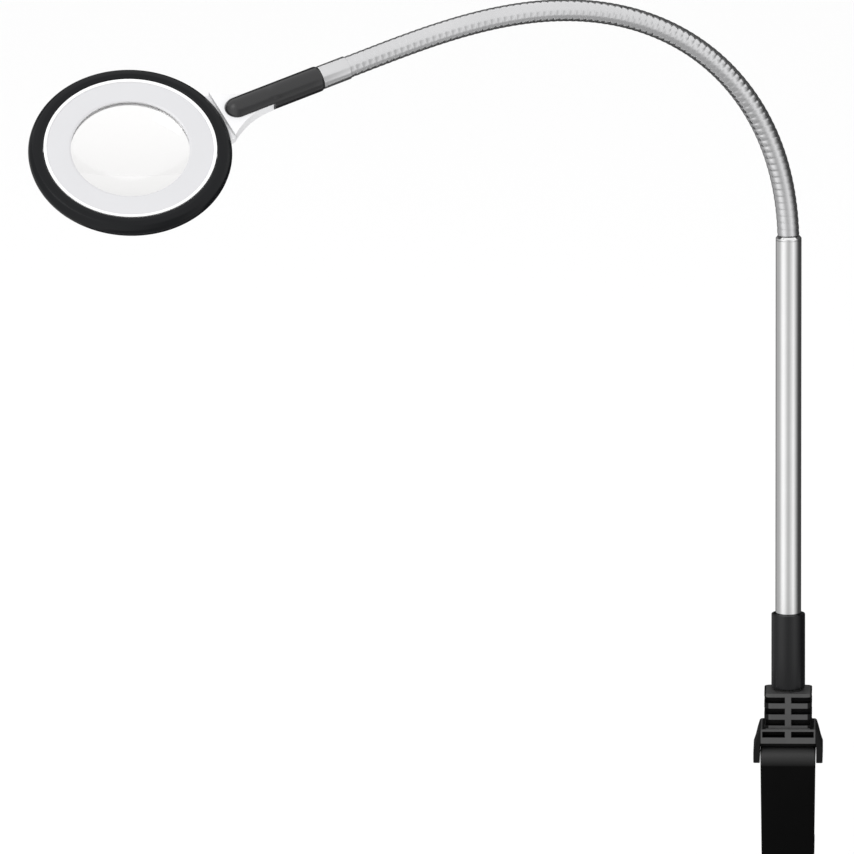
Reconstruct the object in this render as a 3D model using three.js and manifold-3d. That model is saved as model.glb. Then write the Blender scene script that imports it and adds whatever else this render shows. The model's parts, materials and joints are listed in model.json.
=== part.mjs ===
// A magnifying lamp on a screw clamp: a lens in a ring-shaped lit head, on a gooseneck, on a pole.
//
// Millimetres, +Z up. The origin is where the pole's axis meets the face of the upper jaw's pad, so the
// edge of a table that the lamp is clamped to lies just under Z = 0. The clamp's mouth opens towards +Y.
import * as THREE from 'three';
import { mergeVertices } from 'three/addons/utils/BufferGeometryUtils.js';
import Module from 'manifold-3d';

const wasm = await Module();
wasm.setup();

const RADIAN = Math.PI / 180;
const GAP = 0.3;                       // between pieces that rest on each other

// Clamp frame: a C seen along X, its back to the front, -Y
const FRAME_WIDTH = 43;
const FRAME_TAPER = 0.026;             // how much narrower it gets for each millimetre down
const BACK_OUT_Y = -24;
const BACK_IN_Y = -12;
const JAW_END_Y = 46;
const ARM_TOP_Z = 13;
const ARM_UNDER_Z = 3;
const LOW_ARM_TOP_Z = -66;
const LOW_ARM_UNDER_Z = -80;
const OUTER_BEND_R = 10;
const INNER_BEND_R = 5;
const BOSS_R = 13;
const BOSS_UNDER_Z = -88;

// Clamp screw, its nut, its pad and its knob
const SCREW_Y = 22;
const SPINDLE_R = 5.6;
const SPINDLE_HOLE_R = 6.2;
const NUT_R = 9.5;
const NUT_HEIGHT = 7;
const PLATE_FACE_Z = -35;
const PLATE_R = 16;
const PLATE_RUBBER = 2.5;
const PLATE_METAL = 4;
const BALL_R = 4;
const KNOB_TOP_Z = -123;
const KNOB_HEIGHT = 17;
const KNOB_R = 20;
const KNOB_LOBES = 8;
const KNOB_LOBE_DEPTH = 1.8;

// Saddle: the ribbed block on top of the clamp frame
const HOOD_HALF = 26.9;
const HOOD_TOP_HALF = 21.9;
const HOOD_FRONT_Y = -21.5;
const HOOD_REAR_Y = 21.5;
const HOOD_TOP_Z = 28.6;
const EAR_UNDER_Z = 2;
const EAR_TOP_Z = 11.4;
const EAR_IN_HALF = 21.85;
const LIP_UNDER_Z = 17.4;
const LIP_REAR_Y = -13;                // how far in the room above the frame's bend goes
const COLUMN_HALF = 18.5;
const COLUMN_FRONT_Y = -18;
const COLUMN_REAR_Y = 18;
const COLUMN_TOP_Z = 56;
const COLUMN_CORNER_R = 6;
const RIB_PITCH = 8.8;
const TOP_RIB = 2.8;
const POCKET_HEIGHT = 4.7;
const POCKET_COUNT = 4;
const POCKET_DEPTH = 7;
const WEB_HALF = 2.4;
const POCKET_OUT_HALF = 17.3;
const HOOD_POCKET_OUT_HALF = 20;
const SADDLE_SCREW_X = 14;
const SADDLE_SCREW_Y = 4;
const SADDLE_SCREW_R = 2;
const SPIGOT_HEAD_R = 10.4;            // room for the washer and the screw under the spigot
const BUSH_BOTTOM_Z = 23;
const WASHER_R = 11.5;

// Upper jaw's rubber pad
const JAW_PAD_HALF = 19;
const JAW_PAD_FRONT_Y = -6.5;
const JAW_PAD_REAR_Y = 43;

// Pole: tube, collar and the spigot that turns in the saddle's bush
const TUBE_R = 10;
const TUBE_WALL = 1.5;
const TUBE_BOTTOM_Z = 61.5;
const TUBE_TOP_Z = 411;
const COLLAR_R = 13.1;
const COLLAR_BOTTOM_Z = 57.5;
const COLLAR_TOP_Z = 116.5;
const SPIGOT_R = 7;
const SPIGOT_BOTTOM_Z = 22;
const BUSH_R = 9;
const CORD_BORE_R = 3.4;
const GLAND_Z = 74;
const GLAND_OUT = 12;
const SPIGOT_TOP_Z = 104;
const ANCHOR_BOTTOM_Z = 375;
const LEAD_R = 2.4;
const LEAD_TOP_Z = 410;

// Gooseneck: its line leaves the pole upright and curls over, in a plane turned from -X towards -Y
const NECK_PLANE_TURN = 23.3 * RADIAN;
const NECK_R = 8.5;
const NECK_BORE_R = 3.4;
const NECK_ROOT_Z = 401;
const NECK_BENT_LENGTH = 478;
const NECK_END_ANGLE = 106.5 * RADIAN; // from upright, at the grip
const NECK_EASE = 1.256;
const NECK_FIRST_JOINT = 24;           // along the line, from its root
const NECK_JOINTS = 12;
const NECK_PITCH = 41.2;
const NECK_LENGTH = 515;
const SWAY_EVERY = 3;                  // every third joint sways sideways, and the others bend in plane
const NECK_BALL_R = 7;
const NECK_CUP_R = 7.4;
const NECK_SHOULDER = 5.2;             // from a ball's centre back to the shoulder it stands on
const FERRULE_LENGTH = 23.6;
const FERRULE_R = 9.2;

// Head, in its own frame: origin at the ring's centre, +X to the grip, +Z through the lens to the eye
const HEAD_ROLL = 39.5 * RADIAN;
const GRIP_END_X = 162;
const GRIP_AXIS_Z = 1;
const GRIP_R = 10;
const GRIP_SLEEVE_X = 119.5;
const GRIP_TIP_X = 81;
const RIM_OUT_R = 78;
const RIM_IN_R = 66.6;
const RIM_TOP_Z = 6.2;
const RIM_UNDER_Z = -8;
const SHELL_OUT_R = 66.2;
const SHELL_WALL = 2;
const FACE_Z = 5.6;
const FACE_UNDER_Z = 3.9;
const WINDOW_R = 45.4;
const LENS_R = 47.5;
const LENS_EDGE = 1.5;                 // half its thickness at the edge
const LENS_CENTRE = 6.1;               // half its thickness at the centre
const LENS_LEDGE = 2.3;                // from the lens's middle plane to the ledges that hold it
const SEAT_OUT_R = 49.6;
const SEAT_IN_R = 47.9;
const SHELL_UNDER_Z = -7.2;
const WEB_THICKNESS = 1.6;
const BOARD_IN_R = 50.2;
const BOARD_OUT_R = 58.6;
const LED_COUNT = 24;
const LED_SIZE = 3;
const ARM_HALF_AT_RIM = 23;
const ARM_HALF_AT_GRIP = 8;
const ARM_UNDER = -5.5;
const ARM_TOP = 4;
const TANG_HALF = 5;
const TANG_END_X = 136;
const SHELL_SCREW_R = 61.3;
const SHELL_SCREWS = 4;
const BOARD_UNDER = -3.4;
const BOARD_TOP = -1.8;
const LED_UNDER = -4.3;
const DIFFUSER_IN_R = 50;
const DIFFUSER_OUT_R = 63.8;
const DIFFUSER_UNDER = -6.8;
const DIFFUSER_TOP = -5.5;
const RETAINER_OUT_R = 47.7;
const RETAINER_TOP = 3.6;
const GRIP_SCREWS_X = [104, 128];

const SMOOTH = 24;                     // sides of a plain round piece
const RING_SIDES = 36;                 // sides of the head's rings
const LINK_SIDES = 14;                 // sides of a gooseneck link

const finishes = {
  castBlack: new THREE.MeshStandardMaterial({ color: 0x17181a, roughness: 0.5, metalness: 0.3 }),
  plasticBlack: new THREE.MeshStandardMaterial({ color: 0x2b2c2f, roughness: 0.45, metalness: 0 }),
  rimBlack: new THREE.MeshStandardMaterial({ color: 0x1f2023, roughness: 0.3, metalness: 0 }),
  rubber: new THREE.MeshStandardMaterial({ color: 0x1b1b1c, roughness: 0.85, metalness: 0 }),
  satinTube: new THREE.MeshStandardMaterial({ color: 0xc4c5c8, roughness: 0.3, metalness: 1 }),
  neckSteel: new THREE.MeshStandardMaterial({ color: 0xb9babd, roughness: 0.32, metalness: 1 }),
  screwSteel: new THREE.MeshStandardMaterial({ color: 0x9c9da0, roughness: 0.35, metalness: 1 }),
  brass: new THREE.MeshStandardMaterial({ color: 0xb08a45, roughness: 0.35, metalness: 1 }),
  bushPlastic: new THREE.MeshStandardMaterial({ color: 0xd8d5cc, roughness: 0.5, metalness: 0 }),
  shellWhite: new THREE.MeshStandardMaterial({ color: 0xeeeeee, roughness: 0.35, metalness: 0 }),
  diffuser: new THREE.MeshStandardMaterial({ color: 0xf6f5ee, roughness: 0.6, metalness: 0 }),
  board: new THREE.MeshStandardMaterial({ color: 0xe3e4de, roughness: 0.6, metalness: 0 }),
  lens: new THREE.MeshStandardMaterial({ color: 0xf2f6f7, roughness: 0.05, metalness: 0 }),
  lead: new THREE.MeshStandardMaterial({ color: 0x222222, roughness: 0.6, metalness: 0 }),
};

function solidFrom(geometry) {
  const bare = geometry.clone();
  bare.deleteAttribute('normal');
  bare.deleteAttribute('uv');
  const welded = mergeVertices(bare, 1e-4);
  const corners = welded.index.array;
  const kept = [];
  for (let i = 0; i < corners.length; i += 3) {
    const [a, b, c] = [corners[i], corners[i + 1], corners[i + 2]];
    if (a !== b && b !== c && c !== a) kept.push(a, b, c);
  }
  return new wasm.Manifold(new wasm.Mesh({
    numProp: 3,
    vertProperties: new Float32Array(welded.attributes.position.array),
    triVerts: new Uint32Array(kept),
  }));
}

function geometryFrom(solid) {
  const mesh = solid.getMesh();
  const geometry = new THREE.BufferGeometry();
  geometry.setAttribute('position', new THREE.BufferAttribute(new Float32Array(mesh.vertProperties), 3));
  geometry.setIndex(new THREE.BufferAttribute(new Uint32Array(mesh.triVerts), 1));
  return geometry;
}

function join(...geometries) {
  return geometryFrom(geometries.map(solidFrom).reduce((whole, piece) => whole.add(piece)));
}

function cut(geometry, ...tools) {
  const solid = tools.map(solidFrom).reduce((whole, tool) => whole.subtract(tool), solidFrom(geometry));
  return geometryFrom(solid);
}

function overlap(a, b) {
  return geometryFrom(solidFrom(a).intersect(solidFrom(b)));
}

// A profile of [radius, height] corners turned about Z. A hollow one is closed on itself.
function turned(profile, sides = SMOOTH) {
  const points = profile.map(([radius, height]) => new THREE.Vector2(radius, height));
  return new THREE.LatheGeometry(points, sides).rotateX(Math.PI / 2);
}

function turnedRing(profile, sides = SMOOTH) {
  return turned([...profile, profile[0]], sides);
}

function rod(radius, low, high, sides = SMOOTH) {
  return turned([[0, low], [radius, low], [radius, high], [0, high]], sides);
}

function sleeve(inner, outer, low, high, sides = SMOOTH) {
  return turnedRing([[inner, low], [outer, low], [outer, high], [inner, high]], sides);
}

function block(x0, x1, y0, y1, z0, z1) {
  return new THREE.BoxGeometry(x1 - x0, y1 - y0, z1 - z0)
    .translate((x0 + x1) / 2, (y0 + y1) / 2, (z0 + z1) / 2);
}

// An outline in X and Y, raised from z0 to z1.
function raised(shape, z0, z1, curveSegments = 6) {
  return new THREE.ExtrudeGeometry(shape, { depth: z1 - z0, bevelEnabled: false, curveSegments })
    .translate(0, 0, z0);
}

function polygon(corners) {
  return new THREE.Shape(corners.map(([x, y]) => new THREE.Vector2(x, y)));
}

function roundedRectangle(x0, x1, y0, y1, radius) {
  const shape = new THREE.Shape();
  shape.moveTo(x0 + radius, y0);
  shape.lineTo(x1 - radius, y0);
  shape.absarc(x1 - radius, y0 + radius, radius, -Math.PI / 2, 0);
  shape.lineTo(x1, y1 - radius);
  shape.absarc(x1 - radius, y1 - radius, radius, 0, Math.PI / 2);
  shape.lineTo(x0 + radius, y1);
  shape.absarc(x0 + radius, y1 - radius, radius, Math.PI / 2, Math.PI);
  shape.lineTo(x0, y0 + radius);
  shape.absarc(x0 + radius, y0 + radius, radius, Math.PI, Math.PI * 1.5);
  return shape;
}

// Points of an arc of [radius, height] about a centre on the turning axis.
function arc(radius, height, fromAngle, toAngle, steps) {
  return Array.from({ length: steps + 1 }, (_, i) => {
    const angle = fromAngle + (toAngle - fromAngle) * i / steps;
    return [radius * Math.cos(angle), height + radius * Math.sin(angle)];
  });
}

function add(holder, name, geometry, material) {
  const mesh = new THREE.Mesh(geometry, material);
  mesh.name = name;
  holder.add(mesh);
  return mesh;
}

// ---------------------------------------------------------------- clamp frame

function clampFrame() {
  // Drawn in Y and Z, then stood up along X
  const profile = new THREE.Shape();
  const outerY = BACK_OUT_Y + OUTER_BEND_R;
  const innerY = BACK_IN_Y + INNER_BEND_R;
  const quarter = Math.PI / 2;
  profile.moveTo(JAW_END_Y - 3, ARM_UNDER_Z);
  profile.lineTo(JAW_END_Y, ARM_UNDER_Z + 3);
  profile.lineTo(JAW_END_Y, ARM_TOP_Z - 4);
  profile.lineTo(JAW_END_Y - 4, ARM_TOP_Z);
  profile.lineTo(outerY, ARM_TOP_Z);
  profile.absarc(outerY, ARM_TOP_Z - OUTER_BEND_R, OUTER_BEND_R, quarter, Math.PI);
  profile.lineTo(BACK_OUT_Y, LOW_ARM_UNDER_Z + OUTER_BEND_R);
  profile.absarc(outerY, LOW_ARM_UNDER_Z + OUTER_BEND_R, OUTER_BEND_R, Math.PI, quarter * 3);
  profile.lineTo(SCREW_Y + BOSS_R, LOW_ARM_UNDER_Z);
  profile.lineTo(SCREW_Y + BOSS_R + 4, LOW_ARM_UNDER_Z + 4);
  profile.lineTo(SCREW_Y + BOSS_R + 4, LOW_ARM_TOP_Z - 3);
  profile.lineTo(SCREW_Y + BOSS_R + 1, LOW_ARM_TOP_Z);
  profile.lineTo(innerY, LOW_ARM_TOP_Z);
  profile.absarc(innerY, LOW_ARM_TOP_Z + INNER_BEND_R, INNER_BEND_R, -quarter, -Math.PI, true);
  profile.lineTo(BACK_IN_Y, ARM_UNDER_Z - INNER_BEND_R);
  profile.absarc(innerY, ARM_UNDER_Z - INNER_BEND_R, INNER_BEND_R, Math.PI, quarter, true);
  const bar = raised(profile, -FRAME_WIDTH / 2, FRAME_WIDTH / 2, 5);
  bar.applyMatrix4(new THREE.Matrix4().makeBasis(
    new THREE.Vector3(0, 1, 0),
    new THREE.Vector3(0, 0, 1),
    new THREE.Vector3(1, 0, 0),
  ));
  const place = bar.attributes.position;
  for (let i = 0; i < place.count; i += 1) {
    const narrowing = 1 - FRAME_TAPER * (ARM_TOP_Z - place.getZ(i)) / FRAME_WIDTH;
    place.setX(i, place.getX(i) * narrowing);
  }
  const screwHole = rod(SPINDLE_HOLE_R, BOSS_UNDER_Z - 1, LOW_ARM_TOP_Z + 1).translate(0, SCREW_Y, 0);
  const nutSeat = rod(NUT_R + 0.2, LOW_ARM_TOP_Z - NUT_HEIGHT - GAP, LOW_ARM_TOP_Z + 1, 6)
    .translate(0, SCREW_Y, 0);
  const boss = rod(BOSS_R, BOSS_UNDER_Z, LOW_ARM_UNDER_Z + 1).translate(0, SCREW_Y, 0);
  const saddleHoles = [-1, 1].map((side) => join(
    rod(SADDLE_SCREW_R + 0.3, ARM_UNDER_Z - 1, ARM_TOP_Z + 1, 12),
    rod(4.3, ARM_UNDER_Z - 1, ARM_UNDER_Z + 3.2, 16),
  ).translate(side * SADDLE_SCREW_X, SADDLE_SCREW_Y, 0));
  return cut(join(bar, boss), screwHole, nutSeat, ...saddleHoles);
}

function saddleScrew() {
  return turned([
    [0, ARM_UNDER_Z + 0.2],
    [4, ARM_UNDER_Z + 0.2],
    [4, ARM_UNDER_Z + 2.9],
    [SADDLE_SCREW_R, ARM_UNDER_Z + 2.9],
    [SADDLE_SCREW_R, ARM_TOP_Z + 11],
    [0, ARM_TOP_Z + 12],
  ], 14);
}

// ---------------------------------------------------------------- saddle and swivel bush

function saddle() {
  const half = [
    [HOOD_HALF, EAR_UNDER_Z],
    [HOOD_HALF, EAR_TOP_Z],
    [HOOD_HALF - 1.6, EAR_TOP_Z + 4.7],
    [HOOD_TOP_HALF + 1.8, HOOD_TOP_Z - 6],
    [HOOD_TOP_HALF, HOOD_TOP_Z - 1],
    [HOOD_TOP_HALF - 1.6, HOOD_TOP_Z],
  ];
  const hoodOutline = polygon([
    ...half,
    ...half.map(([x, z]) => [-x, z]).reverse(),
    [-EAR_IN_HALF, EAR_UNDER_Z],
    [-EAR_IN_HALF, ARM_TOP_Z + GAP],
    [EAR_IN_HALF, ARM_TOP_Z + GAP],
    [EAR_IN_HALF, EAR_UNDER_Z],
  ]);
  const hood = raised(hoodOutline, HOOD_FRONT_Y, HOOD_REAR_Y)
    .applyMatrix4(new THREE.Matrix4().makeBasis(
      new THREE.Vector3(-1, 0, 0),
      new THREE.Vector3(0, 0, 1),
      new THREE.Vector3(0, 1, 0),
    ));
  const column = raised(
    roundedRectangle(-COLUMN_HALF, COLUMN_HALF, COLUMN_FRONT_Y, COLUMN_REAR_Y, COLUMN_CORNER_R),
    HOOD_TOP_Z - 1,
    COLUMN_TOP_Z,
    5,
  );
  const tools = [
    block(-EAR_IN_HALF, EAR_IN_HALF, HOOD_FRONT_Y - 1, LIP_REAR_Y, ARM_TOP_Z - 1, LIP_UNDER_Z),
    rod(BUSH_R + 0.15, BUSH_BOTTOM_Z, COLUMN_TOP_Z + 1),
    rod(SPIGOT_R + 0.6, ARM_TOP_Z, 30),
    rod(SPIGOT_HEAD_R, ARM_TOP_Z - 1, SPIGOT_BOTTOM_Z),
    ...[-1, 1].map((side) => rod(SADDLE_SCREW_R + 0.15, ARM_TOP_Z - 1, ARM_TOP_Z + 13, 12)
      .translate(side * SADDLE_SCREW_X, SADDLE_SCREW_Y, 0)),
  ];
  for (let row = 0; row < POCKET_COUNT; row += 1) {
    const top = COLUMN_TOP_Z - TOP_RIB - row * RIB_PITCH;
    const low = top - POCKET_HEIGHT;
    const onHood = low < HOOD_TOP_Z;
    for (const end of [-1, 1]) {
      const face = onHood ? HOOD_REAR_Y : COLUMN_REAR_Y;
      const outer = onHood ? HOOD_POCKET_OUT_HALF : POCKET_OUT_HALF;
      const floor = COLUMN_REAR_Y - POCKET_DEPTH;
      for (const side of [-1, 1]) {
        const [x0, x1] = side > 0 ? [WEB_HALF, outer] : [-outer, -WEB_HALF];
        const [y0, y1] = end > 0 ? [floor, face + 1] : [-face - 1, -floor];
        tools.push(block(x0, x1, y0, y1, low, top));
      }
    }
  }
  return cut(join(hood, column), ...tools);
}

function swivelBush() {
  return sleeve(SPIGOT_R + 0.2, BUSH_R, BUSH_BOTTOM_Z + 0.4, COLUMN_TOP_Z - 0.2);
}

// ---------------------------------------------------------------- clamp screw

function knob() {
  const outline = new THREE.Shape();
  const steps = KNOB_LOBES * 6;
  for (let i = 0; i < steps; i += 1) {
    const angle = i / steps * Math.PI * 2;
    const radius = KNOB_R - KNOB_LOBE_DEPTH * (1 - Math.cos(angle * KNOB_LOBES)) / 2;
    const point = [radius * Math.cos(angle), radius * Math.sin(angle)];
    if (i === 0) outline.moveTo(...point);
    else outline.lineTo(...point);
  }
  const body = raised(outline, KNOB_TOP_Z - KNOB_HEIGHT, KNOB_TOP_Z - 3);
  const hub = turned([
    [0, KNOB_TOP_Z - 5],
    [12, KNOB_TOP_Z - 5],
    [12, KNOB_TOP_Z - 3],
    [9.5, KNOB_TOP_Z],
    [0, KNOB_TOP_Z],
  ], 24);
  const bore = rod(4.2, KNOB_TOP_Z - KNOB_HEIGHT + 4, KNOB_TOP_Z + 1, 20);
  const capSeat = rod(9.2, KNOB_TOP_Z - KNOB_HEIGHT - 1, KNOB_TOP_Z - KNOB_HEIGHT + 2.2, 24);
  return cut(join(body, hub), bore, capSeat);
}

function spindle() {
  const tip = PLATE_FACE_Z - PLATE_RUBBER - PLATE_METAL + 1.5;
  const ballCentre = tip - BALL_R;
  return turned([
    [0, KNOB_TOP_Z - KNOB_HEIGHT + 4.4],
    [4, KNOB_TOP_Z - KNOB_HEIGHT + 4.4],
    [4, KNOB_TOP_Z + 0.4],
    [SPINDLE_R, KNOB_TOP_Z + 0.4],
    [SPINDLE_R, ballCentre - 5.5],
    [2.6, ballCentre - 4.5],
    ...arc(BALL_R, ballCentre, -49 * RADIAN, 78 * RADIAN, 6),
    [0, tip],
  ], 20);
}

function pressurePlate() {
  const top = PLATE_FACE_Z - PLATE_RUBBER - 0.1;
  const ballCentre = PLATE_FACE_Z - PLATE_RUBBER - PLATE_METAL + 1.5 - BALL_R;
  const seat = BALL_R + GAP;
  return turned([
    [0, ballCentre + seat],
    ...arc(seat, ballCentre, -18 * RADIAN, 66 * RADIAN, 5).reverse(),
    [seat + 1.8, ballCentre - 1.3],
    [seat + 3, top - PLATE_METAL],
    [PLATE_R, top - 2.2],
    [PLATE_R, top],
    [0, top],
  ], 28);
}

// ---------------------------------------------------------------- pole

function collar() {
  return turnedRing([
    [TUBE_R + 0.15, COLLAR_BOTTOM_Z],
    [COLLAR_R - 0.8, COLLAR_BOTTOM_Z],
    [COLLAR_R, COLLAR_BOTTOM_Z + 0.8],
    [COLLAR_R, COLLAR_TOP_Z - 2],
    [COLLAR_R - 0.6, COLLAR_TOP_Z - 0.6],
    [COLLAR_R - 2, COLLAR_TOP_Z],
    [TUBE_R + 0.15, COLLAR_TOP_Z],
  ]);
}

function cordHole() {
  return new THREE.CylinderGeometry(CORD_BORE_R + 0.4, CORD_BORE_R + 0.4, 30, 16)
    .translate(0, 15, 0)
    .translate(0, 0, GLAND_Z);
}

function swivelSpigot() {
  const inTube = TUBE_R - TUBE_WALL - 0.15;
  const post = turned([
    [0, SPIGOT_BOTTOM_Z],
    [SPIGOT_R, SPIGOT_BOTTOM_Z],
    [SPIGOT_R, COLLAR_BOTTOM_Z],
    [TUBE_R, COLLAR_BOTTOM_Z],
    [TUBE_R, TUBE_BOTTOM_Z - 0.2],
    [inTube, TUBE_BOTTOM_Z - 0.2],
    [inTube, SPIGOT_TOP_Z],
    [0, SPIGOT_TOP_Z],
  ]);
  const leadBore = rod(CORD_BORE_R + 0.4, GLAND_Z - 4, SPIGOT_TOP_Z + 1, 16);
  const screwBore = rod(2.7, SPIGOT_BOTTOM_Z - 1, SPIGOT_BOTTOM_Z + 16, 12);
  return cut(post, leadBore, screwBore, cordHole());
}

function cordGland() {
  const profile = [
    [1.8, 0],
    [CORD_BORE_R, 0],
    [CORD_BORE_R, 5.4],
    [5.4, 5.4],
    [5.4, 7.6],
    [4.6, 8],
    [3.9, 5.4 + GLAND_OUT],
    [1.8, 5.4 + GLAND_OUT],
  ];
  return turnedRing(profile, 20)
    .rotateX(-Math.PI / 2)
    .translate(0, COLLAR_R - 5, GLAND_Z);
}

function neckAnchor() {
  const ball = NECK_ROOT_Z + NECK_FIRST_JOINT;
  const inTube = TUBE_R - TUBE_WALL - 0.15;
  return turnedRing([
    [NECK_BORE_R + 0.6, ANCHOR_BOTTOM_Z],
    [inTube, ANCHOR_BOTTOM_Z],
    [inTube, TUBE_TOP_Z + 0.2],
    [TUBE_R, TUBE_TOP_Z + 0.2],
    [TUBE_R, TUBE_TOP_Z + 1.6],
    [NECK_R, TUBE_TOP_Z + 3.4],
    [NECK_R, ball - NECK_SHOULDER],
    ...ballArc(ball),
  ], 16);
}

// ---------------------------------------------------------------- gooseneck links

function ballArc(centre) {
  const low = -Math.asin(NECK_SHOULDER / NECK_BALL_R);
  const high = Math.acos((NECK_BORE_R + 0.6) / NECK_BALL_R);
  return arc(NECK_BALL_R, centre, low, high, 5);
}

function cupArc() {
  const high = Math.acos((NECK_BORE_R + 0.6) / NECK_CUP_R);
  return arc(NECK_CUP_R, 0, high, 0, 3);
}

function neckLink() {
  return turnedRing([
    ...cupArc(),
    [NECK_R, 0],
    [NECK_R, NECK_PITCH - NECK_SHOULDER],
    ...ballArc(NECK_PITCH),
  ], LINK_SIDES);
}

// How far each joint is bent at rest. Between two bending joints the neck is straight, in the
// direction that the neck's line has halfway between them.
function neckBends() {
  const direction = (along) => {
    const part = Math.min(1, along / NECK_BENT_LENGTH);
    return NECK_END_ANGLE * Math.sin(Math.PI / 2 * part) ** NECK_EASE;
  };
  const bending = [];
  for (let joint = 0; joint < NECK_JOINTS; joint += 1) {
    if (joint % SWAY_EVERY !== 1) bending.push(joint);
  }
  const bends = new Array(NECK_JOINTS).fill(0);
  let before = 0;
  bending.forEach((joint, i) => {
    const next = bending[i + 1];
    const middle = NECK_FIRST_JOINT + NECK_PITCH * (joint + (next ?? joint)) / 2;
    const after = next === undefined ? NECK_END_ANGLE : direction(middle);
    bends[joint] = after - before;
    before = after;
  });
  return bends;
}

const tipStart = NECK_FIRST_JOINT + NECK_PITCH * (NECK_JOINTS - 1);
const TIP_LENGTH = NECK_LENGTH - tipStart;

function neckTip() {
  return turnedRing([
    ...cupArc(),
    [NECK_R, 0],
    [NECK_R, TIP_LENGTH - FERRULE_LENGTH - 0.3],
    [7.4, TIP_LENGTH - FERRULE_LENGTH - 0.3],
    [7.4, TIP_LENGTH + 0.2],
    [5.5, TIP_LENGTH + 0.2],
    [5.5, TIP_LENGTH + 13.5],
    [7.2, TIP_LENGTH + 13.5],
    [7.2, TIP_LENGTH + 16.5],
    [5.5, TIP_LENGTH + 16.5],
    [5.5, TIP_LENGTH + 19.5],
    [2.4, TIP_LENGTH + 19.5],
    [2.4, 14],
    [NECK_BORE_R + 0.6, 12],
  ], 16);
}

function neckFerrule() {
  return turnedRing([
    [7.6, TIP_LENGTH - FERRULE_LENGTH],
    [FERRULE_R - 0.6, TIP_LENGTH - FERRULE_LENGTH],
    [FERRULE_R, TIP_LENGTH - FERRULE_LENGTH + 0.8],
    [FERRULE_R, TIP_LENGTH - 0.2],
    [7.6, TIP_LENGTH - 0.2],
  ], 24);
}

// ---------------------------------------------------------------- head: shells, rim, lens, light

function along(geometry) {
  // A turned piece laid along the grip, from +Z to +X, at the grip's height
  return geometry.rotateY(Math.PI / 2).translate(0, 0, GRIP_AXIS_Z);
}

function armOutline(extra, fromX, toX) {
  const half = (x) => {
    const part = Math.min(1, Math.max(0, (x - RIM_OUT_R) / (GRIP_SLEEVE_X - RIM_OUT_R)));
    const width = ARM_HALF_AT_GRIP + (ARM_HALF_AT_RIM - ARM_HALF_AT_GRIP) * (1 - part) ** 2.2;
    return width + extra;
  };
  const steps = 7;
  const edge = Array.from({ length: steps + 1 }, (_, i) => {
    const x = fromX + (toX - fromX) * i / steps;
    return [x, half(x)];
  });
  return polygon([...edge.map(([x, y]) => [x, -y]), ...edge.reverse()]);
}

function grooveForArm() {
  return raised(armOutline(GAP, 60, 84), RIM_UNDER_Z - 1, GAP);
}

function rimRing() {
  const rim = turnedRing([
    [RIM_IN_R, -7.2],
    [69.5, RIM_UNDER_Z],
    [73.5, -7.3],
    [76.6, -4.6],
    [RIM_OUT_R, -0.6],
    [77, 2.8],
    [74.2, 5.2],
    [70.6, RIM_TOP_Z],
    [67.6, 5.9],
    [RIM_IN_R, 5.3],
  ], RING_SIDES);
  return cut(rim, grooveForArm());
}

function lowerShell() {
  const channel = turnedRing([
    [WINDOW_R, -3.8],
    [SEAT_IN_R, -3.8],
    [SEAT_IN_R, SHELL_UNDER_Z],
    [SEAT_OUT_R, SHELL_UNDER_Z],
    [SEAT_OUT_R, -WEB_THICKNESS],
    [SHELL_OUT_R - SHELL_WALL, -WEB_THICKNESS],
    [SHELL_OUT_R - SHELL_WALL, SHELL_UNDER_Z],
    [SHELL_OUT_R, SHELL_UNDER_Z],
    [SHELL_OUT_R, 0],
    [SEAT_OUT_R, 0],
    [SEAT_OUT_R, 3.5],
    [SEAT_IN_R, 3.5],
    [SEAT_IN_R, -LENS_LEDGE],
    [WINDOW_R, -LENS_LEDGE],
  ], RING_SIDES);
  const underRim = raised(armOutline(0, 65.2, GRIP_SLEEVE_X - 0.4), ARM_UNDER, 0);
  const beyondRim = raised(armOutline(0, RIM_OUT_R + 0.5, GRIP_SLEEVE_X - 0.4), -0.5, ARM_TOP);
  const tang = block(
    GRIP_SLEEVE_X - 2, TANG_END_X,
    -TANG_HALF, TANG_HALF,
    GRIP_AXIS_Z - 2, GRIP_AXIS_Z + 2,
  );
  const leadBore = along(rod(1.9, 58, TANG_END_X + 1, 12));
  const screwHoles = GRIP_SCREWS_X.map((x) => rod(1.7, -12, 12, 12).translate(x, 0, 0));
  const rimHoles = aroundRing((angle) => rod(1.4, -3, 1, 12)
    .translate(SHELL_SCREW_R * Math.cos(angle), SHELL_SCREW_R * Math.sin(angle), 0));
  const body = cut(join(underRim, beyondRim, tang), rod(64.9, -10, 10, RING_SIDES));
  return cut(join(channel, body), leadBore, ...screwHoles, ...rimHoles);
}

function aroundRing(make) {
  return Array.from({ length: SHELL_SCREWS }, (_, i) => make((i + 0.5) / SHELL_SCREWS * Math.PI * 2));
}

function topShell() {
  const plate = turnedRing([
    [WINDOW_R, FACE_UNDER_Z],
    [SHELL_OUT_R - SHELL_WALL, FACE_UNDER_Z],
    [SHELL_OUT_R - SHELL_WALL, GAP],
    [SHELL_OUT_R, GAP],
    [SHELL_OUT_R, FACE_Z],
    [SHELL_OUT_R - SHELL_WALL, FACE_Z + 0.2],
    [SHELL_OUT_R - SHELL_WALL - 0.8, FACE_Z - 0.5],
    [WINDOW_R + 1.4, FACE_Z - 0.9],
    [WINDOW_R, FACE_Z - 1.4],
  ], RING_SIDES);
  const bosses = aroundRing((angle) => rod(2.8, GAP, FACE_UNDER_Z + 0.5, 12)
    .translate(SHELL_SCREW_R * Math.cos(angle), SHELL_SCREW_R * Math.sin(angle), 0));
  const pilots = aroundRing((angle) => rod(1.35, GAP - 1, FACE_UNDER_Z, 12)
    .translate(SHELL_SCREW_R * Math.cos(angle), SHELL_SCREW_R * Math.sin(angle), 0));
  const leadWay = along(rod(2.4, 60, 70, 12));
  return cut(join(plate, ...bosses), ...pilots, leadWay);
}

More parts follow.
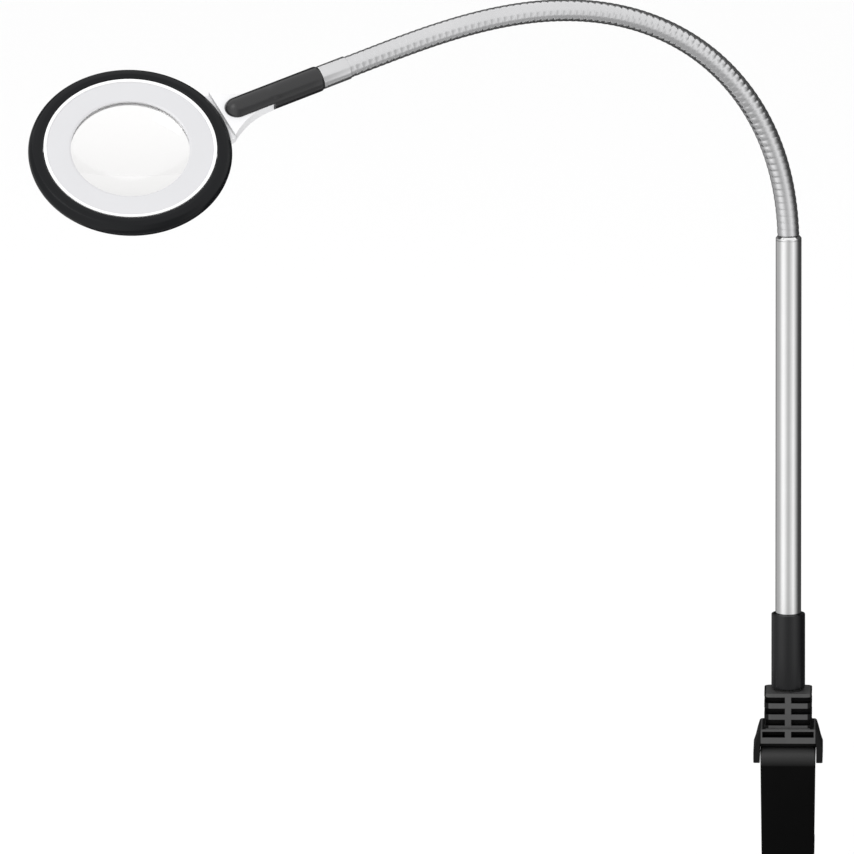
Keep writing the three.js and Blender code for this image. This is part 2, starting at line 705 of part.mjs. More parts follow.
function shellScrew() {
  return turned([
    [0, -3.1],
    [2.2, -3.1],
    [2.2, -WEB_THICKNESS - 0.2],
    [1.15, -WEB_THICKNESS - 0.2],
    [1.15, 3.4],
    [0, 3.6],
  ], 10);
}

function lens() {
  const rise = LENS_CENTRE - LENS_EDGE;
  const curve = (LENS_R ** 2 + rise ** 2) / (2 * rise);
  const spread = Math.asin(LENS_R / curve);
  const steps = 5;
  const upper = Array.from({ length: steps + 1 }, (_, i) => {
    const angle = spread * (1 - i / steps);
    return [i === steps ? 0 : curve * Math.sin(angle), LENS_CENTRE - curve + curve * Math.cos(angle)];
  });
  const lower = upper.map(([radius, height]) => [radius, -height]).reverse();
  return turned([...lower, ...upper], RING_SIDES);
}

function ledBoard() {
  const ring = sleeve(BOARD_IN_R, BOARD_OUT_R, BOARD_UNDER, BOARD_TOP, RING_SIDES);
  const middle = (BOARD_IN_R + BOARD_OUT_R) / 2;
  const half = LED_SIZE / 2;
  const leds = Array.from({ length: LED_COUNT }, (_, i) => (
    block(middle - half, middle + half, -half, half, LED_UNDER, BOARD_UNDER + 0.2)
      .rotateZ((i + 0.5) / LED_COUNT * Math.PI * 2)
  ));
  return join(ring, ...leds);
}

// ---------------------------------------------------------------- head: grip

function gripBody() {
  const nose = GRIP_TIP_X + GRIP_R;
  return along(turned([
    [0, GRIP_TIP_X],
    ...arc(GRIP_R, nose, -72 * RADIAN, 0, 4),
    [GRIP_R, GRIP_END_X - 1.2],
    [GRIP_R - 1, GRIP_END_X - 0.2],
    [0, GRIP_END_X - 0.2],
  ], 24));
}

function gripHalf(side) {
  const near = GRIP_AXIS_Z + side * 0.15;
  const onArm = side > 0 ? ARM_TOP + 0.2 : ARM_UNDER - 0.2;
  const far = GRIP_AXIS_Z + side * 20;
  const [a0, a1] = side > 0 ? [near, far] : [far, near];
  const [b0, b1] = side > 0 ? [onArm, far] : [far, onArm];
  const region = join(
    block(GRIP_SLEEVE_X, GRIP_END_X + 1, -20, 20, a0, a1),
    block(GRIP_TIP_X - 1, GRIP_SLEEVE_X + 0.5, -20, 20, b0, b1),
  );
  const tangPocket = block(
    GRIP_SLEEVE_X - 5, TANG_END_X + 0.3, -TANG_HALF - 0.3, TANG_HALF + 0.3,
    side > 0 ? GRIP_AXIS_Z - 1 : GRIP_AXIS_Z - 2.3,
    side > 0 ? GRIP_AXIS_Z + 2.3 : GRIP_AXIS_Z + 1,
  );
  const spigotRoom = along(turned([
    [0, TANG_END_X - 1],
    [3, TANG_END_X - 1],
    [3, GRIP_END_X - 19.9],
    [5.8, GRIP_END_X - 19.9],
    [5.8, GRIP_END_X - 16.8],
    [7.6, GRIP_END_X - 16.8],
    [7.6, GRIP_END_X - 13.1],
    [5.8, GRIP_END_X - 13.1],
    [5.8, GRIP_END_X + 1],
    [0, GRIP_END_X + 1],
  ], 24));
  const screwWays = GRIP_SCREWS_X.map((x) => {
    if (side > 0) return rod(1.5, -12, GRIP_AXIS_Z + 6.6, 12).translate(x, 0, 0);
    return join(rod(1.8, -12, 6, 12), rod(3.3, -12, GRIP_AXIS_Z - 7.4, 12)).translate(x, 0, 0);
  });
  return cut(overlap(gripBody(), region), tangPocket, spigotRoom, ...screwWays);
}

function gripScrew() {
  return turned([
    [0, GRIP_AXIS_Z - 9.6],
    [3, GRIP_AXIS_Z - 9.6],
    [3, GRIP_AXIS_Z - 7.6],
    [1.3, GRIP_AXIS_Z - 7.6],
    [1.3, GRIP_AXIS_Z + 6.2],
    [0, GRIP_AXIS_Z + 6.4],
  ], 12);
}

// ---------------------------------------------------------------- assembly

const lamp = new THREE.Group();

add(lamp, 'clamp_frame', clampFrame(), finishes.castBlack);
add(lamp, 'clamp_saddle', saddle(), finishes.plasticBlack);
add(lamp, 'swivel_bush', swivelBush(), finishes.bushPlastic);
const washer = sleeve(SPIGOT_R + 0.4, WASHER_R, COLUMN_TOP_Z + 0.1, COLUMN_TOP_Z + 1.2);
add(lamp, 'friction_washer', washer, finishes.bushPlastic);
const padOutline = roundedRectangle(-JAW_PAD_HALF, JAW_PAD_HALF, JAW_PAD_FRONT_Y, JAW_PAD_REAR_Y, 3);
add(lamp, 'upper_jaw_pad', raised(padOutline, 0, ARM_UNDER_Z - 0.1), finishes.rubber);
[-1, 1].forEach((side, i) => {
  const screw = add(lamp, `saddle_screw_${i + 1}`, saddleScrew(), finishes.screwSteel);
  screw.position.set(side * SADDLE_SCREW_X, SADDLE_SCREW_Y, 0);
});

const screwLine = new THREE.Group();
screwLine.position.set(0, SCREW_Y, 0);
lamp.add(screwLine);
add(screwLine, 'screw_nut', cut(
  rod(NUT_R, LOW_ARM_TOP_Z - NUT_HEIGHT, LOW_ARM_TOP_Z - 0.2, 6),
  rod(SPINDLE_R + 0.25, LOW_ARM_TOP_Z - NUT_HEIGHT - 1, LOW_ARM_TOP_Z + 1, 20),
), finishes.brass);
add(screwLine, 'clamp_spindle', spindle(), finishes.screwSteel);
add(screwLine, 'clamp_knob', knob(), finishes.plasticBlack);
const knobCap = rod(9, KNOB_TOP_Z - KNOB_HEIGHT, KNOB_TOP_Z - KNOB_HEIGHT + 2, 24);
add(screwLine, 'knob_cap', knobCap, finishes.rimBlack);
add(screwLine, 'pressure_plate', pressurePlate(), finishes.castBlack);
const lowerPad = rod(PLATE_R - 0.5, PLATE_FACE_Z - PLATE_RUBBER, PLATE_FACE_Z);
add(screwLine, 'lower_jaw_pad', lowerPad, finishes.rubber);

add(lamp, 'pole_tube', cut(
  sleeve(TUBE_R - TUBE_WALL, TUBE_R, TUBE_BOTTOM_Z, TUBE_TOP_Z),
  cordHole(),
), finishes.satinTube);
add(lamp, 'pole_collar', cut(collar(), cordHole()), finishes.plasticBlack);
add(lamp, 'swivel_spigot', swivelSpigot(), finishes.screwSteel);
const spigotWasher = sleeve(2.9, 10, SPIGOT_BOTTOM_Z - 1.8, SPIGOT_BOTTOM_Z - 0.2, 24);
add(lamp, 'spigot_washer', spigotWasher, finishes.screwSteel);
add(lamp, 'spigot_screw', turned([
  [0, ARM_TOP_Z + 1],
  [5, ARM_TOP_Z + 1],
  [5, SPIGOT_BOTTOM_Z - 2],
  [2.4, SPIGOT_BOTTOM_Z - 2],
  [2.4, SPIGOT_BOTTOM_Z + 14],
  [0, SPIGOT_BOTTOM_Z + 14],
], 16), finishes.screwSteel);
add(lamp, 'cord_gland', cordGland(), finishes.rubber);
add(lamp, 'pole_lead', rod(LEAD_R, GLAND_Z + 5, LEAD_TOP_Z, 10), finishes.lead);
add(lamp, 'neck_anchor', neckAnchor(), finishes.satinTube);

const neckPlane = new THREE.Group();
neckPlane.rotation.z = Math.PI + NECK_PLANE_TURN;
lamp.add(neckPlane);
let link = new THREE.Group();
link.position.z = NECK_ROOT_Z + NECK_FIRST_JOINT;
neckPlane.add(link);
neckBends().forEach((bend, joint) => {
  link.rotation.y = bend;
  if (joint === NECK_JOINTS - 1) return;
  const number = String(joint + 1).padStart(2, '0');
  add(link, `gooseneck_segment_${number}`, neckLink(), finishes.neckSteel);
  const next = new THREE.Group();
  next.position.z = NECK_PITCH;
  link.add(next);
  link = next;
});
add(link, 'gooseneck_tip', neckTip(), finishes.screwSteel);
add(link, 'neck_ferrule', neckFerrule(), finishes.satinTube);

const roll = new THREE.Group();
roll.position.z = TIP_LENGTH + GRIP_END_X;
roll.rotation.z = -HEAD_ROLL;
link.add(roll);
const head = new THREE.Group();
head.rotation.set(Math.PI, Math.PI / 2, 0, 'YXZ');
head.position.x = GRIP_AXIS_Z;
roll.add(head);
add(head, 'head_rim', rimRing(), finishes.rimBlack);
add(head, 'head_top_shell', topShell(), finishes.shellWhite);
add(head, 'head_lower_shell', lowerShell(), finishes.shellWhite);
add(head, 'magnifier_lens', lens(), finishes.lens);
const retainer = sleeve(WINDOW_R + 0.3, RETAINER_OUT_R, LENS_LEDGE, RETAINER_TOP, RING_SIDES);
add(head, 'lens_retainer', retainer, finishes.shellWhite);
add(head, 'led_board', ledBoard(), finishes.board);
const diffuser = sleeve(DIFFUSER_IN_R, DIFFUSER_OUT_R, DIFFUSER_UNDER, DIFFUSER_TOP, RING_SIDES);
add(head, 'light_diffuser', diffuser, finishes.diffuser);
aroundRing((angle) => angle).forEach((angle, i) => {
  const screw = add(head, `shell_screw_${i + 1}`, shellScrew(), finishes.screwSteel);
  screw.position.set(SHELL_SCREW_R * Math.cos(angle), SHELL_SCREW_R * Math.sin(angle), 0);
});
add(head, 'grip_upper', gripHalf(1), finishes.plasticBlack);
add(head, 'grip_lower', gripHalf(-1), finishes.plasticBlack);
GRIP_SCREWS_X.forEach((x, i) => {
  const screw = add(head, `grip_screw_${i + 1}`, gripScrew(), finishes.screwSteel);
  screw.position.x = x;
});

export default lamp;
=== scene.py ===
"""A clamp-on magnifying lamp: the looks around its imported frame.

Sizes are millimetres until a piece is placed.
"""
import json
import math
import bpy
import bmesh
from mathutils import Matrix, Quaternion, Vector

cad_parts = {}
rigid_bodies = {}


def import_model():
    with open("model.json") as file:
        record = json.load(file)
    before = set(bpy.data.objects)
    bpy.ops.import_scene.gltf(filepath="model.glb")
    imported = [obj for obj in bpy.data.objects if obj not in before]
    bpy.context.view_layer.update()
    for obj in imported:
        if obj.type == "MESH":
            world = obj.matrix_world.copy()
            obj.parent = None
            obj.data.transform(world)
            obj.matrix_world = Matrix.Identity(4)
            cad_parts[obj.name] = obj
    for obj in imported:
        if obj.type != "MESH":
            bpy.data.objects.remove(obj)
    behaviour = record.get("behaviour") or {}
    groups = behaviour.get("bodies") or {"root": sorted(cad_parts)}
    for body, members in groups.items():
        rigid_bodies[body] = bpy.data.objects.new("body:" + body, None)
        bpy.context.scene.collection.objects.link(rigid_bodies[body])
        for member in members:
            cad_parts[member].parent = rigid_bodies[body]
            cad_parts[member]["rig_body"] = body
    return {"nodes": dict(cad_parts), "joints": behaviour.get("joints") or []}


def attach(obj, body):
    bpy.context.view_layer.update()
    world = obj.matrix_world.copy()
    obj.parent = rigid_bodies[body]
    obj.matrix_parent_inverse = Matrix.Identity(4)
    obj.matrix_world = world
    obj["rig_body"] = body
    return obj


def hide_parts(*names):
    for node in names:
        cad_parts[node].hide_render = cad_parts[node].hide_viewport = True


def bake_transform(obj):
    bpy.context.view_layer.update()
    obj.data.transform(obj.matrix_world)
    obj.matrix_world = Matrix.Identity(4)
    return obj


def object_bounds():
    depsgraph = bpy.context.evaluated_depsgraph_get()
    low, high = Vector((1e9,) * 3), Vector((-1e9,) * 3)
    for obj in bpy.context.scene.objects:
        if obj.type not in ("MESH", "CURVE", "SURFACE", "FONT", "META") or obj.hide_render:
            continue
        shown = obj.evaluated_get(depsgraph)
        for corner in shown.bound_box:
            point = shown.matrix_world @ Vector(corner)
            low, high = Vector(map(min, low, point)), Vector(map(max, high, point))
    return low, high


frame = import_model()
cad_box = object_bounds()

MM = 0.001
TURN = 2 * math.pi
FINE_GRAIN = 900                # noise scale of a moulded surface, for each metre
NOISE_LOW, NOISE_HIGH = 0.3, 0.7        # most of a noise texture's values lie between these


# ---------------------------------------------------------------- where things are

JOINTS = {joint["name"]: joint for joint in frame["joints"]}


def joint_point(name):
    return Vector(JOINTS[name]["pos_m"])


def joint_axis(name):
    return Vector(JOINTS[name]["axis"]).normalized()


def axes_at(origin, x_axis, y_axis, z_axis):
    """A matrix that takes millimetres in those axes to the frame's metres."""
    turn = Matrix((x_axis, y_axis, z_axis)).transposed().to_4x4()
    return Matrix.Translation(origin) @ turn @ Matrix.Scale(MM, 4)


UPRIGHT = Matrix.Scale(MM, 4)
SCREW_LINE = Matrix.Translation((0, JOINTS["screw_turn"]["pos_m"][1], 0)) @ UPRIGHT

HEAD_ROLL = math.radians(39.5)
GRIP_LENGTH = 162               # from the ring's centre to the gooseneck
GRIP_AXIS_Z = 1                 # the grip's axis above the ring's centre
NECK_SIDE = joint_axis("neck_bend_1")
NECK_OUT = joint_axis("head_roll")
NECK_ACROSS = NECK_SIDE.cross(NECK_OUT)
HEAD_Z = -NECK_ACROSS * math.cos(HEAD_ROLL) + NECK_SIDE * math.sin(HEAD_ROLL)
HEAD_X = -NECK_OUT
HEAD_Y = HEAD_Z.cross(HEAD_X)
HEAD_ORIGIN = joint_point("head_roll") + NECK_OUT * GRIP_LENGTH * MM - HEAD_Z * GRIP_AXIS_Z * MM
HEAD = axes_at(HEAD_ORIGIN, HEAD_X, HEAD_Y, HEAD_Z)


# ---------------------------------------------------------------- camera, floor and lights

VIEW_TURN = math.radians(1.5)
VIEW_DROP = math.radians(11.05)
VIEW_ROLL = math.radians(0.14)
VIEW_WIDTH = 0.6636             # what the picture spans across, at the pole
VIEW_POLE_SIDE = 0.2800         # the pole stands this far right of the middle
VIEW_LIFT = 0.2593              # the middle of the picture above the clamp's jaw
CAMERA_AWAY = 16
FLOOR_Z = cad_box[0].z - 0.035
FLOOR_SPAN = 60
SURROUND_AWAY = 0.9
SURROUND_HEIGHT = 0.95
SURROUND_STEP = 4               # degrees
SENSOR_WIDTH = 36
VIEW_FAR = 200
KEY_PLACE = (-2.2, -2.2, 2.8)
KEY_AIM = (-0.25, 0, 0.3)
KEY_SIZE = 1.6
KEY_WATTS = 40


def make_camera():
    ahead = Vector((
        -math.sin(VIEW_TURN) * math.cos(VIEW_DROP),
        math.cos(VIEW_TURN) * math.cos(VIEW_DROP),
        -math.sin(VIEW_DROP),
    ))
    across = Vector((math.cos(VIEW_TURN), math.sin(VIEW_TURN), 0))
    middle = -across * VIEW_POLE_SIDE + across.cross(ahead) * VIEW_LIFT
    camera = bpy.data.objects.new("camera", bpy.data.cameras.new("camera"))
    camera.data.sensor_width = SENSOR_WIDTH
    camera.data.lens = SENSOR_WIDTH * CAMERA_AWAY / VIEW_WIDTH
    camera.data.clip_end = VIEW_FAR
    camera.location = middle - ahead * CAMERA_AWAY
    camera.rotation_mode = "QUATERNION"
    camera.rotation_quaternion = Quaternion(ahead, VIEW_ROLL) @ ahead.to_track_quat("-Z", "Y")
    bpy.context.scene.collection.objects.link(camera)
    bpy.context.scene.camera = camera


def area_light(name, place, aim, size, power):
    data = bpy.data.lights.new(name, "AREA")
    data.shape = "RECTANGLE"
    data.size = data.size_y = size
    data.energy = power
    lamp = bpy.data.objects.new(name, data)
    lamp.location = place
    lamp.rotation_euler = (Vector(aim) - Vector(place)).to_track_quat("-Z", "Y").to_euler()
    lamp.visible_camera = False
    bpy.context.scene.collection.objects.link(lamp)


# What the metal and the gloss mirror on each side: degrees from the front (plus is right), and a grey
SURROUND_GREYS = [
    (-180, 0.05), (-150, 0.12), (-130, 0.38), (-104, 0.40), (-80, 0.50), (-68, 0.76), (-58, 0.93),
    (-44, 1.0), (-30, 0.86), (-20, 0.68), (-4, 0.48), (5, 0.48), (14, 0.55), (32, 0.76), (42, 0.90),
    (50, 0.83), (60, 0.62), (71, 0.40), (82, 0.22), (94, 0.09), (107, 0.04), (130, 0.06), (180, 0.05),
]
TOP_GREYS = (0.85, 0.08)        # in front of the pole, and behind it
BOTTOM_GREYS = (0.4, 0.06)


def reflected_only(name, build, finish):
    """A card that only reflections see."""
    mesh = bpy.data.meshes.new(name)
    build.to_mesh(mesh)
    build.free()
    mesh.materials.append(finish)
    card = bpy.data.objects.new(name, mesh)
    bpy.context.scene.collection.objects.link(card)
    for ray in ("camera", "diffuse", "transmission", "shadow", "volume_scatter"):
        setattr(card, "visible_" + ray, False)


def glowing(name, grey):
    return material(name, (0, 0, 0), 1, Specular_IOR_Level=0, Emission_Color=(grey, grey, grey, 1),
                    Emission_Strength=1)


def surround_grey(angle):
    for (low, first), (high, second) in zip(SURROUND_GREYS, SURROUND_GREYS[1:]):
        if low <= angle <= high:
            return first + (second - first) * (angle - low) / (high - low)
    return SURROUND_GREYS[0][1]


def make_surround():
    """A round wall of cards about the pole, each its own grey, with a top and a bottom in two halves."""
    top = FLOOR_Z + SURROUND_HEIGHT
    rim = []
    for angle in range(-180, 180, SURROUND_STEP):
        span = [math.radians(angle), math.radians(angle + SURROUND_STEP)]
        left, right = [(SURROUND_AWAY * math.sin(a), -SURROUND_AWAY * math.cos(a)) for a in span]
        wall = bmesh.new()
        corners = ((*left, FLOOR_Z), (*right, FLOOR_Z), (*right, top), (*left, top))
        wall.faces.new([wall.verts.new(corner) for corner in corners])
        rim.append(left)
        name = f"surround_{angle + 180:03d}"
        reflected_only(name, wall, glowing(name, surround_grey(angle + SURROUND_STEP / 2)))
    for level, height, greys in (("top", top, TOP_GREYS), ("bottom", FLOOR_Z, BOTTOM_GREYS)):
        for place, side, grey in (("front", -1, greys[0]), ("rear", 1, greys[1])):
            half = bmesh.new()
            half.faces.new([half.verts.new((x, y, height)) for x, y in rim if y * side > -1e-6])
            name = f"surround_{level}_{place}"
            reflected_only(name, half, glowing(name, grey))


def make_studio():
    world = bpy.data.worlds.new("studio")
    world.use_nodes = True
    background = world.node_tree.nodes["Background"]
    background.inputs["Color"].default_value = (1, 1, 1, 1)
    background.inputs["Strength"].default_value = 1
    bpy.context.scene.world = world
    bpy.context.scene.view_settings.view_transform = "Standard"
    bpy.ops.mesh.primitive_plane_add(size=FLOOR_SPAN, location=(0, 0, FLOOR_Z))
    floor = bpy.context.object
    floor.name = "floor"
    floor.data.materials.append(FLOOR_WHITE)
    floor.visible_glossy = False
    area_light("key", KEY_PLACE, KEY_AIM, KEY_SIZE, KEY_WATTS)
    make_surround()


# ---------------------------------------------------------------- materials

def socket(made, name):
    """A socket on the material's own shader."""
    return made.node_tree.nodes["Principled BSDF"].inputs[name]


def material(name, colour, roughness, metallic=0.0, **settings):
    """A material of plain values. settings are further sockets, with _ for the spaces in their names."""
    made = bpy.data.materials.new(name)
    made.use_nodes = True
    socket(made, "Base Color").default_value = (*colour, 1)
    socket(made, "Roughness").default_value = roughness
    socket(made, "Metallic").default_value = metallic
    for setting, value in settings.items():
        socket(made, setting.replace("_", " ")).default_value = value
    return made


def add_node(made, kind, **settings):
    node = made.node_tree.nodes.new(kind)
    for setting, value in settings.items():
        node.inputs[setting.replace("_", " ")].default_value = value
    return node


def link(made, source, target):
    made.node_tree.links.new(source, target)


def grain(made, scale, detail=4, stretch=(1, 1, 1)):
    """Noise over the surface, in the piece's own coordinates, finer or coarser along each axis."""
    place = add_node(made, "ShaderNodeTexCoord")
    mapping = add_node(made, "ShaderNodeMapping")
    mapping.inputs["Scale"].default_value = stretch
    texture = add_node(made, "ShaderNodeTexNoise", Scale=scale, Detail=detail, Roughness=0.6)
    link(made, place.outputs["Object"], mapping.inputs["Vector"])
    link(made, mapping.outputs["Vector"], texture.inputs["Vector"])
    return texture.outputs["Fac"]


def vary_roughness(made, factor, low, high):
    spread = add_node(
        made, "ShaderNodeMapRange", From_Min=NOISE_LOW, From_Max=NOISE_HIGH, To_Min=low, To_Max=high)
    link(made, factor, spread.inputs["Value"])
    link(made, spread.outputs["Result"], socket(made, "Roughness"))


def vary_colour(made, factor, dark, light):
    ramp = add_node(made, "ShaderNodeValToRGB")
    for element, position, colour in zip(ramp.color_ramp.elements, (NOISE_LOW, NOISE_HIGH), (dark, light)):
        element.position = position
        element.color = (*colour, 1)
    link(made, factor, ramp.inputs["Fac"])
    link(made, ramp.outputs["Color"], socket(made, "Base Color"))


def rough_up(made, factor, strength, distance):
    bump = add_node(made, "ShaderNodeBump", Strength=strength, Distance=distance)
    link(made, factor, bump.inputs["Height"])
    link(made, bump.outputs["Normal"], socket(made, "Normal"))


def shade(colour, factor):
    return tuple(channel * factor for channel in colour)


def moulding(name, colour, roughness, bump=0.12, spread=0.1, scale=FINE_GRAIN, **settings):
    """Moulded plastic or rubber: a fine grain, faint clouds of colour, and patches a little more worn."""
    made = material(name, colour, roughness, **settings)
    vary_colour(made, grain(made, 18, 3), shade(colour, 1 - spread), shade(colour, 1 + spread))
    vary_roughness(made, grain(made, 35, 3), roughness * 0.88, roughness * 1.12)
    rough_up(made, grain(made, scale, 2), bump, 0.0002)
    return made


def bare_metal(name, colour, roughness, drawn=(1, 1, 0.02), scale=1600, bump=0.05, spread=0.04):
    """Metal with fine lines left by drawing or turning, along the axis that is stretched."""
    made = material(name, colour, roughness, 1.0)
    lines = grain(made, scale, 3, drawn)
    vary_colour(made, grain(made, 14, 3), shade(colour, 1 - spread), shade(colour, 1 + spread))
    vary_roughness(made, lines, roughness * 0.85, roughness * 1.2)
    rough_up(made, lines, bump, 0.0001)
    return made


FLOOR_WHITE = material("floor_white", (0.96, 0.96, 0.96), 0.9)
TUBE_SILVER = bare_metal("tube_silver_satin", (0.97, 0.97, 0.97), 0.12, bump=0.02)
NECK_SILVER = bare_metal("neck_winding_nickel", (0.80, 0.80, 0.81), 0.24, (1, 1, 1), 500)
FERRULE_SILVER = bare_metal("ferrule_silver_turned", (0.80, 0.80, 0.81), 0.22, (1, 1, 1), 700)
ZINC = bare_metal("zinc_plate", (0.62, 0.62, 0.61), 0.3, (1, 1, 1), 400)
NUT_BRASS = bare_metal("nut_brass", (0.62, 0.45, 0.18), 0.3, (1, 1, 1), 400)
FRAME_BLACK = moulding(
    "frame_black_coat", (0.002, 0.002, 0.002), 0.3, 0.15, 0.15, 700, Specular_IOR_Level=0.06)
SADDLE_BLACK = moulding("saddle_black_plastic", (0.062, 0.062, 0.062), 0.42, 0.2)
# Painted shade: near-black for the saddle's pockets, its sides outside the ribs and the hood below its lip.
SADDLE_PAINTED_SHADE = moulding("saddle_black_painted_shade", (0.004, 0.004, 0.004), 0.6, 0.2, Specular_IOR_Level=0.2)
COLLAR_BLACK = moulding("collar_black_plastic", (0.004, 0.0042, 0.0052), 0.24, 0.08)
GRIP_BLACK = moulding("grip_black_plastic", (0.008, 0.008, 0.009), 0.2, 0.1, Specular_IOR_Level=0.8)
RIM_BLACK = moulding(
    "rim_black_gloss", (0.003, 0.0035, 0.0045), 0.2, 0.04, 0.1, 500, Specular_IOR_Level=0.25)
RUBBER_BLACK = moulding("rubber_black", (0.018, 0.018, 0.018), 0.75, 0.4, 0.15, 600)
SHELL_WHITE = moulding("shell_white_plastic", (0.80, 0.80, 0.81), 0.38, 0.06, 0.015)
BEZEL_WHITE = moulding("bezel_white_plastic", (0.93, 0.93, 0.93), 0.3, 0.04, 0.01)
FACE_GREY = moulding("face_light_grey_plastic", (0.63, 0.63, 0.645), 0.35, 0.05, 0.012)
BUSH_WHITE = moulding("bush_nylon", (0.72, 0.70, 0.65), 0.5)
DIFFUSER_WHITE = moulding("diffuser_opal", (0.9, 0.9, 0.87), 0.55, 0.3, 0.01, 1400, Subsurface_Weight=0.3)
BOARD_WHITE = moulding("board_white", (0.78, 0.79, 0.75), 0.5, 0.1)
LAMP_YELLOW = moulding("lamp_phosphor", (0.85, 0.72, 0.22), 0.4, 0.1)
LEAD_BLACK = moulding("lead_black", (0.02, 0.02, 0.02), 0.6)


def lens_glass():
    made = material("lens_glass", (0.972, 0.966, 0.962), 0.0, IOR=1.5, Transmission_Weight=1.0)
    vary_roughness(made, grain(made, 40, 2), 0.0, 0.012)
    return made


LENS_GLASS = lens_glass()


def painted_bend_highlight():
    """The frame's coat with a painted highlight: paler toward the top, where the back bends over to the arm.
    """
    made = material("frame_black_bend_painted_highlight", (0.002, 0.002, 0.002), 0.3, Specular_IOR_Level=0.06)
    rough_up(made, grain(made, 700, 2), 0.15, 0.0002)
    # Painted highlight: the base colour pales with height over the bend.
    place = add_node(made, "ShaderNodeTexCoord")
    parts = add_node(made, "ShaderNodeSeparateXYZ")
    fade = add_node(
        made, "ShaderNodeMapRange", From_Min=-0.001, From_Max=0.0085, To_Min=0.002, To_Max=0.042)
    link(made, place.outputs["Object"], parts.inputs["Vector"])
    link(made, parts.outputs["Z"], fade.inputs["Value"])
    link(made, fade.outputs["Result"], socket(made, "Base Color"))
    return made


FRAME_BEND_HIGHLIGHT = painted_bend_highlight()


# ---------------------------------------------------------------- mesh helpers

def finish_mesh(name, build, finish, placing, body, replaced=(), sharp=35):
    """Turns a bmesh in millimetres into a placed piece that rides on a body."""
    bmesh.ops.remove_doubles(build, verts=build.verts, dist=1e-4)
    bmesh.ops.recalc_face_normals(build, faces=build.faces)
    build.transform(placing)
    if placing.determinant() < 0:
        bmesh.ops.reverse_faces(build, faces=build.faces)
    mesh = bpy.data.meshes.new(name)
    build.to_mesh(mesh)
    build.free()
    mesh.materials.append(finish)
    mesh.shade_smooth()
    mesh.set_sharp_from_angle(angle=math.radians(sharp))
    piece = bpy.data.objects.new(name, mesh)
    bpy.context.scene.collection.objects.link(piece)
    if body:
        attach(piece, body)
    if replaced:
        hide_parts(*replaced)
    return piece


NEARLY_STRAIGHT = math.radians(172)     # a corner flatter than this stays as it is
MOST_OF_EDGE = 0.48             # how much of an edge one of its two corners may use up


def softened(profile, radius, steps=4, closed=True):
    """An outline with its corners rounded to at most radius. A corner's third number is its own radius."""
    count = len(profile)
    result = []
    for i, corner in enumerate(profile):
        here = Vector(corner[:2])
        own = corner[2] if len(corner) > 2 else radius
        ends = not closed and i in (0, count - 1)
        before = Vector(profile[i - 1][:2]) - here
        after = Vector(profile[(i + 1) % count][:2]) - here
        if ends or own <= 0 or before.length < 1e-6 or after.length < 1e-6:
            result.append(tuple(here))
            continue
        angle = before.angle(after)
        if angle > NEARLY_STRAIGHT:
            result.append(tuple(here))
            continue
        back = min(own / math.tan(angle / 2), before.length * MOST_OF_EDGE, after.length * MOST_OF_EDGE)
        first, last = here + before.normalized() * back, here + after.normalized() * back
        for step in range(steps + 1):
            t = step / steps
            result.append(tuple((1 - t) ** 2 * first + 2 * t * (1 - t) * here + t ** 2 * last))
    return result


def ring(radius, height, sides):
    """Points evenly round Z at a height."""
    angles = [TURN * k / sides for k in range(sides)]
    return [(radius * math.cos(angle), radius * math.sin(angle), height) for angle in angles]


def skin(build, rows, wrap_rows):
    """Quads between closed rows of points, where each row has as many points."""
    made = [[build.verts.new(point) for point in row] for row in rows]
    last = len(made) if wrap_rows else len(made) - 1
    width = len(made[0])
    for i in range(last):
        low, high = made[i], made[(i + 1) % len(made)]
        for k in range(width):
            n = (k + 1) % width
            try:
                build.faces.new((low[k], low[n], high[n], high[k]))
            except ValueError:
                pass
    return made


def turned(name, profile, finish, placing, body, replaced=(), closed=True, fillet=0.3,
           sides=96, shape=None, sharp=35):
    """A (radius, height) profile turned about Z. An open one runs from axis to axis.

    shape gives a factor on the radius for an angle and a height.
    """
    outline = softened(profile, fillet, closed=closed)
    build = bmesh.new()
    rows = []
    for radius, height in outline:
        row = []
        for k in range(sides):
            angle = TURN * k / sides
            reach = radius * (shape(angle, height) if shape else 1)
            row.append((reach * math.cos(angle), reach * math.sin(angle), height))
        rows.append(row)
    skin(build, rows, closed)
    bmesh.ops.dissolve_degenerate(build, dist=1e-5, edges=build.edges)
    return finish_mesh(name, build, finish, placing, body, replaced, sharp)


def lofted(name, sections, finish, placing, body, replaced=(), sharp=35):
    """Closed sections of as many points, joined in turn and capped at both ends."""
    build = bmesh.new()
    made = skin(build, sections, False)
    for end in (made[0], made[-1]):
        build.faces.new(end)
    return finish_mesh(name, build, finish, placing, body, replaced, sharp)


def prism(outline, low, high, axes="xyz"):
    """A bmesh of an outline raised along the third of axes."""
    build = bmesh.new()
    order = [axes.index(letter) for letter in "xyz"]

    def point(a, b, c):
        raised = (a, b, c)
        return tuple(raised[k] for k in order)

    bottom = [build.verts.new(point(a, b, low)) for a, b in outline]
    top = [build.verts.new(point(a, b, high)) for a, b in outline]
    build.faces.new(bottom)
    build.faces.new(top)
    count = len(outline)
    for k in range(count):
        n = (k + 1) % count
        build.faces.new((bottom[k], bottom[n], top[n], top[k]))
    bmesh.ops.recalc_face_normals(build, faces=build.faces)
    return build


def box(x0, x1, y0, y1, z0, z1):
    return prism([(x0, y0), (x1, y0), (x1, y1), (x0, y1)], z0, z1)


def rod(radius, low, high, x=0, y=0, sides=48):
    return prism([(x + a, y + b) for a, b, _ in ring(radius, 0, sides)], low, high)


def loose(build, name="tool"):
    mesh = bpy.data.meshes.new(name)
    build.to_mesh(mesh)
    build.free()
    piece = bpy.data.objects.new(name, mesh)
    bpy.context.scene.collection.objects.link(piece)
    return piece


def applied(piece):
    """The bmesh of a piece with its modifiers applied. The piece itself is removed."""
    bpy.context.view_layer.update()
    evaluated = piece.evaluated_get(bpy.context.evaluated_depsgraph_get())
    build = bmesh.new()
    build.from_mesh(evaluated.to_mesh())
    evaluated.to_mesh_clear()
    mesh = piece.data
    bpy.data.objects.remove(piece)
    bpy.data.meshes.remove(mesh)
    return build


